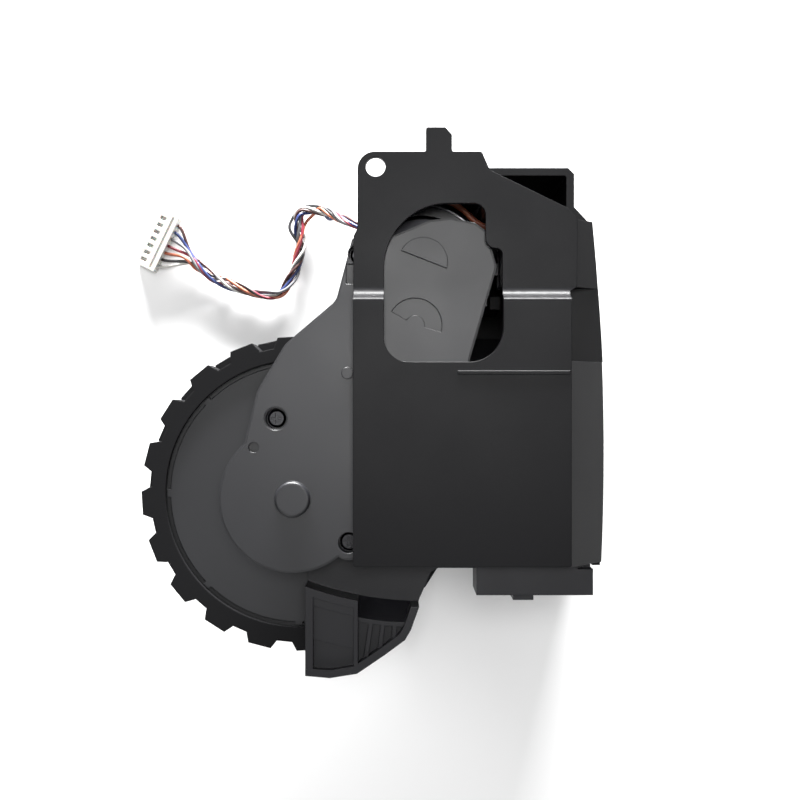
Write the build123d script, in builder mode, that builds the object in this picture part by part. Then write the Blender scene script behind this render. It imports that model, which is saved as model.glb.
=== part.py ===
from build123d import *
import os
from math import acos, atan2, cos, degrees, hypot, pi, radians, sin, tan

# Robot vacuum wheel module: a drive wheel on a sprung, swinging gearbox arm, in its housing.
# Millimetres. The origin is the arm's swing axis where it meets the housing's back face.
# +Z runs along the swing axis towards the front cover, +Y towards the chassis screw hole.

# Arm and wheel places
arm_length = 61.85
arm_bearing = 241.2
hub_low = 15.2
tyre_low = 14.0
tyre_width = 20.0

# Tyre and hub
tread_r = 35.6
lug_height = 2.4
lug_count = 20
lug_phase = 3.5
lug_tip_width = 5.6
lug_root_width = 7.6
row_gap = 0.8
rim_r = 33.0
rim_wall = 2.0
hub_face_r = 31.3
hub_plate = 2.6
lip_r = 32.3
lip_depth = 1.4
rib_count = 8
rib_thickness = 1.8
hub_boss_r = 6.4
cap_r = 9.0
cap_thickness = 1.2
cap_wall = 0.9
cap_recess = 2.6
cap_ledge = 1.4
groove_depth = 1.8

# Axle and its bushes
axle_r = 2.5
running_gap = 0.06
bush_wall = 1.4
bush_flange = 0.8
axle_boss_r = 4.06
axle_boss_height = 2.0

# Gearbox shell heights
arm_low = 39.5
arm_floor = 1.5
arm_split = 45.5
arm_top = 51.5
arm_wall = 1.5
edge_break = 0.35
lobe_room = 2.2
lower_layer = (41.6, 45.0)
upper_layer = (45.7, 49.3)

# Gear train
pressure_angle = 25.0
backlash = 0.10
motor_teeth = 12
first_teeth = 48
first_pinion_teeth = 14
second_teeth = 48
second_pinion_teeth = 14
idler_teeth = 24
output_teeth = 42
first_module = 0.5
second_module = 0.6
first_bearing = 248.5
second_bearing = 262.0
train_bend = 1.014
gear_pin_r = 1.0
gear_room = 0.6
web = 1.2

# Motor, and the sleeve that it sits in
motor_r = 12.2
motor_low = 10.5
motor_nose_r = 3.0
motor_cap = 1.8
motor_shaft_r = 1.15
board_r = 11.4
board_thickness = 1.4
board_low = 5.4
magnet_r = 3.4
magnet_height = 1.6
magnet_low = 3.2
sleeve_r = 14.6
sleeve_low = 2.0
motor_gap = 0.1
keeper_low = 0.6
keeper_lip = 1.3

# Base shell
floor_thickness = 2.0
base_wall = 1.8
rim_height = 46.0
barrel_gap = 0.08
barrel_wall = 1.9
barrel_top = 26.0
ring_height = 4.5
recess_gap = 0.4
post_r = 3.8
post_height = 24.0
bracket_post_height = 34.8

# Front cover
flange_top = 54.0
flange_thickness = 2.0
cover_top = 57.5
cover_thickness = 2.5
boss_r = 2.8
chassis_hole_r = 2.25
chassis_hole_x = -10.8
chassis_hole_y = 21.36
chassis_relief_r = 2.9
chassis_relief_wall = 1.2

# End bracket
ledge_low = 35.0
ledge_thickness = 3.8
block_top = 50.0
bracket_wall = 1.8
foot_gap = 0.7

# Screws
screw_r = 1.1
screw_head_r = 2.1
screw_head = 1.7
thread_gap = 0.03
cross_width = 0.55
cross_length = 2.4
cross_depth = 0.9

# Small screws of the motor and of the keeper disc
motor_screw_r = 0.78
motor_screw_head_r = 1.5
motor_screw_head = 0.5
motor_screw_reach = 2.6
motor_screw_circle = 8.0
keeper_screw_r = 0.5
keeper_screw_head_r = 1.2
keeper_screw_head = 0.7
keeper_screw_length = 5.4
keeper_screw_count = 3
keeper_pilot = 5.0
keeper_hole_r = 5.0
keeper_cross = (1.5, 0.35, 0.4)

# Torsion spring
wire_r = 0.6
spring_r = 15.9
spring_turns = 3.75
spring_pitch = 1.4
spring_low = 27.95

# Harness and plug
harness_r = 1.9
plug_length = 15.8
plug_depth = 5.7
plug_height = 4.4
plug_poles = 7
plug_pitch = 2.0

os.makedirs("parts", exist_ok=True)


def polar(radius, bearing, centre=(0.0, 0.0)):
    """The point at a distance and bearing from a centre."""
    angle = radians(bearing)
    return (centre[0] + radius * cos(angle), centre[1] + radius * sin(angle))


def beside(centre, dx, dy):
    """The point that lies dx, dy from a centre."""
    return (centre[0] + dx, centre[1] + dy)


def bearing_of(start, end):
    """The bearing of one point from another, in degrees."""
    return degrees(atan2(end[1] - start[1], end[0] - start[0]))


def gap_between(start, end):
    """The distance between two points."""
    return hypot(end[0] - start[0], end[1] - start[1])


def save(part, name):
    """Label a finished piece and write its file."""
    part.label = name
    export_step(part, f"parts/{name}.step")


# Places of the shafts
pivot = (0.0, 0.0)
wheel = polar(arm_length, arm_bearing)
first_distance = first_module * (motor_teeth + first_teeth) / 2
second_distance = second_module * (first_pinion_teeth + second_teeth) / 2
first = polar(first_distance, first_bearing)
second = polar(second_distance, second_bearing, first)
last_run = gap_between(second, wheel)
idler_units = (second_pinion_teeth + idler_teeth) / 2
output_units = (idler_teeth + output_teeth) / 2
last_module = last_run * train_bend / (idler_units + output_units)
idler_distance = last_module * idler_units
output_distance = last_module * output_units
idler_along = (idler_distance**2 - output_distance**2 + last_run**2) / (2 * last_run)
idler_across = degrees(acos(idler_along / idler_distance))
idler = polar(idler_distance, bearing_of(second, wheel) - idler_across, second)
second_tip = second_module * (second_teeth / 2 + 1)
output_tip = last_module * (output_teeth / 2 + 1)
lobe_r = output_tip + lobe_room + arm_wall

# Heights worked out from the sizes above
tyre_top = tyre_low + tyre_width
hub_face = tyre_top - 1.0
axle_top = arm_top + axle_boss_height - 1.0
barrel_r = sleeve_r + barrel_gap
barrel_outer = barrel_r + barrel_wall
keeper_r = sleeve_r + keeper_lip
recess_r = keeper_r + recess_gap
roof_low = arm_top - arm_wall
arm_deck = arm_low + arm_floor
ledge_top = ledge_low + ledge_thickness
foot_inner_r = arm_length + lobe_r + foot_gap

# Arm outline points: the head is placed from the pivot, the neck from the wheel axis
head_points = [(-16.2, 5.5), (-6.4, 6.2), (1.6, 9.6), (6.2, 10.1), (11.9, 9.1), (14.6, 7.0)]
head_points += [(16.9, -1.1), (10.7, -22.4)]
flank_points = [beside(second, 17.6, -1.6), beside(wheel, 15.8, -4.3)]
neck_points = [beside(wheel, -11.4, 11.6), beside(wheel, -8.2, 24.7), beside(wheel, -1.8, 35.4)]
shoulder_point = (-19.9, -8.8)
arm_screws = [
    beside(wheel, -3.9, 18.4),
    beside(wheel, 12.8, -10.0),
    polar(18.6, -10.0, second),
    (-14.6, 1.8),
    polar(19.2, 268.0, second),
]
arm_screw_boss_r = 2.7
ear_r = 4.0
arm_recess_r = 2.4
arm_recess_depth = 4.2
arm_mouth_r = 2.7
arm_mouth_depth = 0.5
arm_screw_clear = 1.1

# Housing fasteners, by the axis of each
cover_posts = [(16.5, 13.5), (33.4, 2.0), (35.9, -38.0)]
bracket_posts = [(36.0, wheel[1] - 5.8), (35.2, wheel[1] - 17.4)]


def tooth_angle(radius, teeth, module):
    """Half the angle that a tooth takes at a radius, on an involute flank."""
    slope = radians(pressure_angle)
    pitch_r = module * teeth / 2
    base_r = pitch_r * cos(slope)
    here = acos(min(1.0, base_r / radius))
    thinned = pi / (2 * teeth) - backlash / (2 * pitch_r)
    return thinned + (tan(slope) - slope) - (tan(here) - here)


def gear_outline(teeth, module, phase, centre):
    """Draw a gear's closed outline, with one tooth's middle at the phase, in degrees."""
    pitch_r = module * teeth / 2
    outer_r = pitch_r + 0.95 * module
    root_r = pitch_r - 1.25 * module
    start_r = max(pitch_r * cos(radians(pressure_angle)), root_r) + 0.001
    middle_r = (start_r + outer_r) / 2
    step = 360 / teeth
    for tooth in range(teeth):
        here = phase + tooth * step
        foot = degrees(tooth_angle(start_r, teeth, module))
        middle = degrees(tooth_angle(middle_r, teeth, module))
        tip = degrees(tooth_angle(outer_r, teeth, module))
        rise = ThreePointArc(
            polar(start_r, here - foot, centre),
            polar(middle_r, here - middle, centre),
            polar(outer_r, here - tip, centre),
        )
        land = ThreePointArc(rise @ 1, polar(outer_r, here, centre), polar(outer_r, here + tip, centre))
        fall = ThreePointArc(
            land @ 1,
            polar(middle_r, here + middle, centre),
            polar(start_r, here + foot, centre),
        )
        low_left = polar(root_r, here + foot, centre)
        low_right = polar(root_r, here + step - foot, centre)
        next_start = polar(start_r, here + step - foot, centre)
        if start_r > root_r + 0.01:
            Line(fall @ 1, low_left)
            ThreePointArc(low_left, polar(root_r, here + step / 2, centre), low_right)
            Line(low_right, next_start)
        else:
            ThreePointArc(fall @ 1, polar(start_r, here + step / 2, centre), next_start)


def meshed_phase(teeth, phase, centre, other_teeth, other_centre):
    """The phase that puts a gap of the second gear on a tooth of the first."""
    towards = bearing_of(centre, other_centre)
    turns = teeth * (towards - phase) / 360
    return towards + 180 - (0.5 - turns) * 360 / other_teeth


motor_phase = 10.0
first_phase = meshed_phase(motor_teeth, motor_phase, pivot, first_teeth, first)
second_phase = meshed_phase(first_pinion_teeth, 0.0, first, second_teeth, second)
idler_phase = meshed_phase(second_pinion_teeth, 0.0, second, idler_teeth, idler)
output_phase = meshed_phase(idler_teeth, idler_phase, idler, output_teeth, wheel)


# The gearbox's outline: head, neck, wheel lobe and screw ears
arm_corner_radii = [0.8, 2.0, 3.0, 4.0, 1.6, 1.2, 1.5, 4.0, 6.0, 2.0, 3.0, 6.0, 6.0, 4.0]
with BuildSketch() as arm_plan:
    with BuildLine():
        FilletPolyline(
            *head_points,
            *flank_points,
            *neck_points,
            shoulder_point,
            close=True,
            radius=arm_corner_radii,
        )
    make_face()
    with Locations(wheel):
        Circle(lobe_r)
    with Locations(second):
        Circle(second_tip + gear_room + arm_wall)
    with Locations(arm_screws[1], arm_screws[2], arm_screws[4]):
        Circle(ear_r)


# Base shell: one moulding with the barrel that the arm swings in
outline_left = -14.9
outline_bay = -16.0
outline_top = 20.3
outline_bottom = wheel[1] - 21.8
wall_top_y = 9.4
wall_points = [(39.0, wall_top_y), (41.85, -30.3), (41.3, wheel[1] - 15.8)]
pocket_points = [(13.6, outline_top), (15.4, 22.5), (33.9, 22.5), (35.3, 21.1), (35.3, 13.4)]
bay_right = 33.0
bay_top = 10.8
bay_ribs_y = (-28.0, wheel[1] + 8.2, wheel[1] - 9.8)
bay_rib_size = (1.4, 3.0)
corner_cut_y = wheel[1] - 1.8
exit_place = (outline_left, 13.6, 12.0)
exit_width = 5.2
exit_height = 7.0
head_recess_r = 2.6
web_x = (11.0, 21.5)
web_y = (-24.5, -16.7)
web_top = 38.9
web_low = 33.2
sensor_post = (20.2, -3.2)
sensor_post_size = (5.6, 6.4, 27.0)
spring_lug = (spring_r + wire_r + 0.3, -9.4)
spring_lug_size = (2.6, 3.2, 28.0)


# The base shell's plan outline
with BuildSketch() as base_plan:
    with BuildLine():
        Polyline(
            (outline_bay, outline_bottom),
            (outline_bay, bay_top - 1.5),
            (outline_left, bay_top),
            (outline_left, outline_top),
            *pocket_points,
            wall_points[0],
        )
        ThreePointArc(*wall_points)
        Polyline(
            wall_points[2],
            (wall_points[2][0] - 2.0, wall_points[2][1] - 1.6),
            (wall_points[2][0] - 2.0, outline_bottom),
            (outline_bay, outline_bottom),
        )
    make_face()

with BuildPart() as base_shell:
    with BuildSketch(Plane.XY):
        add(base_plan.sketch)
    extrude(amount=floor_thickness)
    with BuildSketch(Plane.XY.offset(floor_thickness)):
        add(base_plan.sketch)
        offset(amount=-base_wall, kind=Kind.INTERSECTION, mode=Mode.SUBTRACT)
    extrude(amount=rim_height - floor_thickness)
    with Locations((outline_bay - 1, outline_bottom - 1, floor_thickness)):
        Box(
            bay_right - outline_bay + 1,
            bay_top - outline_bottom + 1,
            rim_height,
            align=(Align.MIN, Align.MIN, Align.MIN),
            mode=Mode.SUBTRACT,
        )
    with Locations((bay_right - 1, outline_bottom - 1, bracket_post_height)):
        Box(
            wall_points[2][0] - base_wall - bay_right + 1,
            corner_cut_y - outline_bottom + 1,
            rim_height,
            align=(Align.MIN, Align.MIN, Align.MIN),
            mode=Mode.SUBTRACT,
        )
    with Locations((bay_right - 1, outline_bottom - 1, bracket_post_height)):
        Box(
            wall_points[2][0] - bay_right + 2,
            wall_points[2][1] - outline_bottom + 1,
            rim_height,
            align=(Align.MIN, Align.MIN, Align.MIN),
            mode=Mode.SUBTRACT,
        )
    # Barrel with its thick foot ring
    with BuildSketch(Plane.XY):
        Circle(recess_r + 1.3)
    extrude(amount=ring_height)
    with BuildSketch(Plane.XY):
        Circle(barrel_outer)
    extrude(amount=barrel_top)
    with BuildSketch(Plane.XY):
        Circle(barrel_r)
    extrude(amount=barrel_top, mode=Mode.SUBTRACT)
    with BuildSketch(Plane.XY):
        Circle(recess_r)
    extrude(amount=sleeve_low + 0.2, mode=Mode.SUBTRACT)
    # Posts for the sensor and the fixed leg of the spring
    for corner, size in ((sensor_post, sensor_post_size), (spring_lug, spring_lug_size)):
        with Locations((*corner, floor_thickness)):
            Box(*size, align=(Align.MIN, Align.MIN, Align.MIN))
    # Screw posts, entered from the back face
    for place, height in [(p, post_height) for p in cover_posts] + [
        (p, bracket_post_height) for p in bracket_posts
    ]:
        with BuildSketch(Plane((*place, 0))):
            Circle(post_r)
        extrude(amount=height)
        with BuildSketch(Plane((*place, 0))):
            Circle(head_recess_r)
        extrude(amount=height - 2.0, mode=Mode.SUBTRACT)
        with BuildSketch(Plane((*place, 0))):
            Circle(screw_r + 0.2)
        extrude(amount=height, mode=Mode.SUBTRACT)
    # Stiffening ribs across the floor of the wheel bay
    for rib_y in bay_ribs_y:
        with Locations((outline_bay + 2, rib_y, floor_thickness)):
            Box(
                bay_right - outline_bay + 2,
                *bay_rib_size,
                align=(Align.MIN, Align.CENTER, Align.MIN),
            )
    # Web with a sloping top, beside the arm's neck
    with BuildSketch(Plane.YZ.offset(web_x[0])):
        with BuildLine():
            Polyline(
                (web_y[0], floor_thickness),
                (web_y[0], web_top),
                (web_y[0] + 1.2, web_top),
                (web_y[1], web_low),
                (web_y[1], web_low - base_wall),
                (web_y[0] + base_wall, web_top - 1.2 - base_wall),
                (web_y[0] + base_wall, floor_thickness),
                close=True,
            )
        make_face()
    extrude(amount=web_x[1] - web_x[0])
    # Wall that steps round the chassis screw
    with BuildSketch(Plane.XY.offset(floor_thickness)):
        with Locations((chassis_hole_x, chassis_hole_y)):
            Circle(chassis_relief_r + chassis_relief_wall)
        add(base_plan.sketch, mode=Mode.INTERSECT)
    extrude(amount=rim_height - floor_thickness)
    with BuildSketch(Plane((chassis_hole_x, chassis_hole_y, 0))):
        Circle(chassis_relief_r)
    extrude(amount=rim_height, mode=Mode.SUBTRACT)
    # Harness exit through the left wall
    with Locations(exit_place):
        Box(3 * base_wall, exit_width, exit_height, mode=Mode.SUBTRACT)
save(base_shell.part, "base_shell")

# Front cover: a plate in two levels, with the arm's window and a sloping right shoulder
cover_left = -15.8
flange_y = (24.8, -5.9)
step_y = (-6.9, -9.4)
cover_bottom = wheel[1] - 14.8
cover_right = 33.25
tab_x = (0.63, 6.52)
tab_top = 30.3
notch_low = -22.8
notch_panel = 2.4
window_points = [(-8.9, -23.0), (18.0, -23.0), (18.0, 2.9), (14.2, 2.9), (14.2, 13.1), (-8.9, 13.1)]
window_radii = [5.6, 7.8, 1.4, 2.3, 2.7, 14.7]
ridge_y = -25.4
ridge_size = (0.8, 0.35)
skirt_thickness = 2.0


# The front cover's plan outline, without its shoulders
cover_radii = [0.6, 0.5, 0.5, 4.0, 0.4, 0.5, 0.4, 0.4, 0.4, 0.8, 1.2, 1.5, 1.2, 0.4, 0.4, 0.6]
with BuildSketch() as cover_plan:
    with BuildLine():
        FilletPolyline(
            (cover_left, cover_bottom),
            (cover_left, 5.6),
            (outline_left, 7.4),
            (outline_left, flange_y[0]),
            (tab_x[0], flange_y[0]),
            (tab_x[0], tab_top),
            (5.0, tab_top),
            (tab_x[1], 28.6),
            (tab_x[1], flange_y[0]),
            (13.3, flange_y[0]),
            (15.1, 20.6),
            (32.8, 12.0),
            (35.1, 9.6),
            (34.9, flange_y[1]),
            (cover_right, step_y[0]),
            (cover_right, cover_bottom),
            close=True,
            radius=cover_radii,
        )
    make_face()

with BuildPart() as front_cover:
    with BuildSketch(Plane.YZ.offset(cover_left - 5)):
        with BuildLine():
            Polyline((step_y[1], cover_top), (cover_bottom - 2, cover_top))
            Polyline(
                (cover_bottom - 2, cover_top),
                (cover_bottom - 2, cover_top - cover_thickness),
                (step_y[1] + 0.6, cover_top - cover_thickness),
                (step_y[0] + 0.6, flange_top - flange_thickness),
                (tab_top + 2, flange_top - flange_thickness),
                (tab_top + 2, flange_top),
                (step_y[0] + 0.9, flange_top),
            )
            Spline(
                (step_y[0] + 0.9, flange_top),
                ((step_y[0] + step_y[1]) / 2, (flange_top + cover_top) / 2 + 0.2),
                (step_y[1], cover_top),
                tangents=[(-1, 0.2), (-1, 0)],
            )
        make_face()
    extrude(amount=cover_right - cover_left + 12)
    with BuildSketch(Plane.XY.offset(flange_top - flange_thickness - 1)):
        add(cover_plan.sketch)
    extrude(amount=cover_top - flange_top + flange_thickness + 2, mode=Mode.INTERSECT)
    # Skirt down to the base's rim, along the top and the left
    with BuildSketch(Plane.XY.offset(rim_height)):
        add(base_plan.sketch)
        offset(amount=-skirt_thickness, kind=Kind.INTERSECTION, mode=Mode.SUBTRACT)
        with Locations((outline_left - 5, bay_top)):
            Rectangle(
                13.6 - outline_left + 5,
                2 * outline_top,
                align=(Align.MIN, Align.MIN),
                mode=Mode.INTERSECT,
            )
    extrude(amount=flange_top - flange_thickness - rim_height + 0.5)
    # Upper and lower shoulders, trimmed by the curve of the base's right wall
    for top_z, under_z, top_x, span in (
        (flange_top, flange_top - flange_thickness, 34.6, (flange_y[1], wall_top_y)),
        (cover_top, cover_top - cover_thickness, cover_right - 0.2, (cover_bottom, notch_low)),
    ):
        reach = wall_points[1][0] + 1.0
        with BuildSketch(Plane.XZ.offset(-span[1])):
            with BuildLine():
                Polyline(
                    (top_x, top_z),
                    (reach, rim_height),
                    (reach - skirt_thickness - 0.8, rim_height),
                    (top_x - 1.0, under_z),
                    close=True,
                )
            make_face()
        extrude(amount=span[1] - span[0])
    # Sunk panel that closes the notch between the shoulders
    with BuildSketch(Plane.XY.offset(rim_height)):
        add(base_plan.sketch)
        with Locations((cover_right - skirt_thickness, notch_low)):
            Rectangle(
                outline_top,
                flange_y[1] - notch_low,
                align=(Align.MIN, Align.MIN),
                mode=Mode.INTERSECT,
            )
    extrude(amount=notch_panel)
    with BuildSketch(Plane.XY.offset(rim_height)):
        add(base_plan.sketch)
        add(cover_plan.sketch)
    extrude(amount=cover_top - rim_height + 1, mode=Mode.INTERSECT)
    # Side wall that closes the plate's edge inside the notch
    with Locations((cover_right - 2.6, notch_low, rim_height - 4)):
        Box(
            1.8,
            step_y[0] - notch_low,
            flange_top - flange_thickness - rim_height + 5,
            align=(Align.MIN, Align.MIN, Align.MIN),
        )
    # Screw bosses that meet the base's posts
    for place, top in zip(cover_posts, (52.6, 52.2, 50.2)):
        with BuildSketch(Plane((*place, post_height))):
            Circle(boss_r)
            Circle(screw_r + thread_gap, mode=Mode.SUBTRACT)
        extrude(amount=12.0)
        with BuildSketch(Plane((*place, post_height + 12.0))):
            Circle(boss_r)
        extrude(amount=top - post_height - 12.0)
    # Window for the arm's head, chassis screw hole and the fine ridge
    with BuildSketch(Plane.XY.offset(flange_top - flange_thickness - 1)):
        with BuildLine():
            FilletPolyline(*window_points, close=True, radius=window_radii)
        make_face()
    extrude(amount=cover_top - flange_top + flange_thickness + 3, mode=Mode.SUBTRACT)
    with BuildSketch(Plane.XY.offset(rim_height)):
        with Locations((chassis_hole_x, chassis_hole_y)):
            Circle(chassis_relief_r + chassis_relief_wall)
        add(base_plan.sketch, mode=Mode.INTERSECT)
    extrude(amount=flange_top - flange_thickness - rim_height)
    with BuildSketch(Plane((chassis_hole_x, chassis_hole_y, rim_height))):
        Circle(chassis_relief_r)
    extrude(amount=flange_top - flange_thickness - rim_height, mode=Mode.SUBTRACT)
    with BuildSketch(Plane((chassis_hole_x, chassis_hole_y, flange_top - flange_thickness))):
        Circle(chassis_hole_r)
    extrude(amount=flange_thickness, mode=Mode.SUBTRACT)
    with Locations((7.7, ridge_y, cover_top - 0.2)):
        Box(
            cover_right - 7.7 - 0.4,
            ridge_size[0],
            ridge_size[1] + 0.2,
            align=(Align.MIN, Align.CENTER, Align.MIN),
        )
save(front_cover.part, "front_cover")

# End bracket: ledge under the arm, corner block, and the ribbed foot beside the wheel
block_x = (12.3, 39.1)
block_y = (wheel[1] - 22.2, wheel[1] - 2.8)
tab_block = ((20.9, 25.6), block_y[0] - 1.4)
ledge_inner_r = arm_length + 8.6
ledge_right = 4.0
ledge_step_y = wheel[1] - 17.4
ledge_far_y = wheel[1] + 4.2
foot_left = wheel[0] + 2.6
foot_points = [(foot_left, wheel[1] - 20.4), (foot_left, wheel[1] - 41.2), beside(wheel, 8.3, -41.7)]
foot_points += [beside(wheel, 14.6, -40.7), beside(wheel, 21.1, -36.3), beside(wheel, 25.7, -32.9)]
foot_points += [beside(wheel, 27.1, -30.5), beside(wheel, 29.2, -24.6), beside(wheel, 31.9, -18.4)]
foot_points += [beside(wheel, 33.6, -17.4)]
foot_top = 48.0
foot_split = wheel[0] + 13.8
foot_rib = 1.0
foot_tray_floor = 44.6
foot_steps = ((1.8, 0.8), (3.7, 1.4), (11.2, 2.2))
foot_cone_reach = 4.0
foot_cone_top = 46.4
foot_gusset_bearings = (261.8, 263.7, 265.6)
foot_span = 2 * gap_between(pivot, foot_points[1])
pillar_places = [(16.5, wheel[1] - 11.3), (28.4, wheel[1] - 11.3)]
block_shoulder = (35.6, wheel[1] - 16.2, 45.6)
pillar_r = 2.6

# The foot's outline, and the same inside its walls
with BuildSketch() as foot_plan:
    with BuildLine():
        Polyline(*foot_points, close=True)
    make_face()
with BuildSketch() as foot_core:
    with BuildLine():
        Polyline(*foot_points, close=True)
    make_face()
    offset(amount=-bracket_wall, kind=Kind.INTERSECTION)

# Cone and gussets that stiffen the foot's open side
with BuildPart() as foot_ribs:
    with BuildSketch(Plane.XZ):
        with BuildLine():
            Polyline(
                (foot_inner_r, ledge_low + 1),
                (foot_inner_r, ledge_top),
                (foot_inner_r + foot_cone_reach, foot_cone_top),
                (foot_inner_r + foot_cone_reach + foot_rib, foot_cone_top),
                (foot_inner_r + foot_cone_reach + foot_rib, ledge_low + 1),
                close=True,
            )
        make_face()
    revolve(axis=Axis.Z)
    for bearing in foot_gusset_bearings:
        with BuildSketch(Plane.XY.offset(ledge_low + 1)):
            with Locations(Location((0, 0, 0), (0, 0, 1), bearing)):
                with Locations((foot_inner_r + foot_cone_reach, 0)):
                    Rectangle(foot_span, foot_rib, align=(Align.MIN, Align.CENTER))
        extrude(amount=foot_cone_top - ledge_low - 1)
    with BuildSketch(Plane.XY.offset(ledge_low)):
        add(foot_plan.sketch)
        with Locations((foot_split + foot_rib / 2, 0)):
            Rectangle(foot_span, foot_span, align=(Align.MIN, Align.CENTER), mode=Mode.INTERSECT)
    extrude(amount=foot_top - ledge_low, mode=Mode.INTERSECT)

with BuildPart() as end_bracket:
    with BuildSketch(Plane.XY.offset(ledge_low)):
        with BuildLine():
            Polyline(
                *foot_points,
                (block_x[0], ledge_step_y),
                (block_x[0], block_y[0]),
                (block_x[1], block_y[0]),
                (block_x[1], block_y[1]),
                (ledge_right, block_y[1]),
                (ledge_right, ledge_far_y),
                (foot_left, ledge_far_y),
                close=True,
            )
        make_face()
        with Locations(pivot):
            Circle(ledge_inner_r, mode=Mode.SUBTRACT)
        with Locations((ledge_right, block_y[1])):
            Rectangle(
                block_x[1] - ledge_right,
                block_y[1] - ledge_step_y,
                align=(Align.MIN, Align.MAX),
            )
    extrude(amount=ledge_thickness)
    # Foot, outside the sweep of the arm's lobe: its left side is cored from below, under a
    # stepped top, and its right side is an open ribbed tray
    with BuildSketch(Plane.XY.offset(ledge_low)):
        add(foot_plan.sketch)
        with Locations(pivot):
            Circle(foot_inner_r, mode=Mode.SUBTRACT)
    extrude(amount=foot_top - ledge_low)
    with BuildSketch(Plane.XY.offset(ledge_low)):
        add(foot_core.sketch)
        with Locations(pivot):
            Circle(foot_inner_r + bracket_wall, mode=Mode.SUBTRACT)
        with Locations((foot_split, 0)):
            Rectangle(foot_span, foot_span, align=(Align.MAX, Align.CENTER), mode=Mode.INTERSECT)
    extrude(amount=foot_top - foot_steps[-1][1] - bracket_wall - ledge_low, mode=Mode.SUBTRACT)
    for reach, drop in foot_steps:
        with BuildSketch(Plane.XY.offset(foot_top - drop)):
            add(foot_core.sketch)
            with Locations(pivot):
                Circle(foot_inner_r + reach, mode=Mode.SUBTRACT)
            with Locations((foot_split, 0)):
                Rectangle(foot_span, foot_span, align=(Align.MAX, Align.CENTER), mode=Mode.INTERSECT)
        extrude(amount=drop, mode=Mode.SUBTRACT)
    with BuildSketch(Plane.XY.offset(foot_tray_floor)):
        add(foot_core.sketch)
        with Locations((foot_split + foot_rib, 0)):
            Rectangle(foot_span, foot_span, align=(Align.MIN, Align.CENTER), mode=Mode.INTERSECT)
    extrude(amount=foot_top - foot_tray_floor, mode=Mode.SUBTRACT)
    with BuildSketch(Plane.XY.offset(ledge_top)):
        add(foot_core.sketch)
        with Locations((foot_split + foot_rib, 0)):
            Rectangle(foot_span, foot_span, align=(Align.MIN, Align.CENTER), mode=Mode.INTERSECT)
        with Locations(pivot):
            Circle(foot_inner_r + foot_cone_reach, mode=Mode.INTERSECT)
    extrude(amount=foot_tray_floor - ledge_top, mode=Mode.SUBTRACT)
    # The tray is cored from below, beyond the cone
    with BuildSketch(Plane.XY.offset(ledge_low)):
        add(foot_core.sketch)
        with Locations((foot_split + foot_rib, 0)):
            Rectangle(foot_span, foot_span, align=(Align.MIN, Align.CENTER), mode=Mode.INTERSECT)
        with Locations(pivot):
            Circle(foot_inner_r + foot_cone_reach + foot_rib, mode=Mode.SUBTRACT)
    extrude(amount=foot_tray_floor - bracket_wall - ledge_low, mode=Mode.SUBTRACT)
    add(foot_ribs.part)
    # Corner block, open on its hidden side
    with Locations((block_x[0], block_y[0], ledge_low)):
        Box(
            block_x[1] - block_x[0],
            block_y[1] - block_y[0],
            block_top - ledge_low,
            align=(Align.MIN, Align.MIN, Align.MIN),
        )
    with Locations((block_x[0] + bracket_wall, block_y[0] + bracket_wall, ledge_top)):
        Box(
            block_x[1] - block_x[0] - 2 * bracket_wall,
            block_y[1] - block_y[0],
            block_top - ledge_top - bracket_wall,
            align=(Align.MIN, Align.MIN, Align.MIN),
            mode=Mode.SUBTRACT,
        )
    with Locations(block_shoulder):
        Box(
            block_x[1] - block_shoulder[0] + 1,
            block_y[1] - block_shoulder[1] + 1,
            block_top - block_shoulder[2] + 1,
            align=(Align.MIN, Align.MIN, Align.MIN),
            mode=Mode.SUBTRACT,
        )
    with Locations((tab_block[0][0], tab_block[1], ledge_top)):
        Box(
            tab_block[0][1] - tab_block[0][0],
            block_y[0] - tab_block[1] + 0.5,
            block_top - ledge_top - 2.0,
            align=(Align.MIN, Align.MIN, Align.MIN),
        )
    # Pillars that carry the cover's lower edge
    with BuildSketch(Plane.XY.offset(block_top)):
        with Locations(*pillar_places):
            Circle(pillar_r)
    extrude(amount=cover_top - cover_thickness - block_top)
    # Screw bosses over the base's corner posts
    with BuildSketch(Plane.XY.offset(ledge_top)):
        with Locations(*bracket_posts):
            Circle(boss_r)
        with Locations(((block_x[0] + block_x[1]) / 2, (block_y[0] + block_y[1]) / 2)):
            Rectangle(
                block_x[1] - block_x[0],
                block_y[1] - block_y[0],
                mode=Mode.INTERSECT,
            )
    extrude(amount=block_shoulder[2] - ledge_top)
    with BuildSketch(Plane.XY.offset(ledge_low)):
        with Locations(*bracket_posts):
            Circle(screw_r + thread_gap)
    extrude(amount=10.0, mode=Mode.SUBTRACT)
save(end_bracket.part, "end_bracket")


def screw_group(places, seat, length, up, name):
    """Make a group of pan head screws, with the heads' under faces at the seat height."""
    head_plane = Plane((0, 0, seat), x_dir=(1, 0, 0), z_dir=(0, 0, 1 if up else -1))
    flip = 1 if up else -1
    with BuildPart() as screws:
        with BuildSketch(head_plane):
            with Locations(*[(x, flip * y) for x, y in places]):
                Circle(screw_head_r)
        extrude(amount=screw_head)
        fillet(screws.edges().group_by(Axis.Z)[-1 if up else 0], radius=0.5)
        with BuildSketch(head_plane):
            with Locations(*[(x, flip * y) for x, y in places]):
                Circle(screw_r)
        extrude(amount=-length)
        with BuildSketch(head_plane.offset(screw_head)):
            with Locations(*[(x, flip * y) for x, y in places]):
                Rectangle(cross_length, cross_width)
                Rectangle(cross_width, cross_length)
        extrude(amount=-cross_depth, mode=Mode.SUBTRACT)
    save(screws.part, name)
    return screws


housing_screws = screw_group(cover_posts, post_height - 2.0, 12.0, False, "housing_screws")
bracket_screws = screw_group(bracket_posts, bracket_post_height - 2.0, 11.0, False, "bracket_screws")

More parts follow.
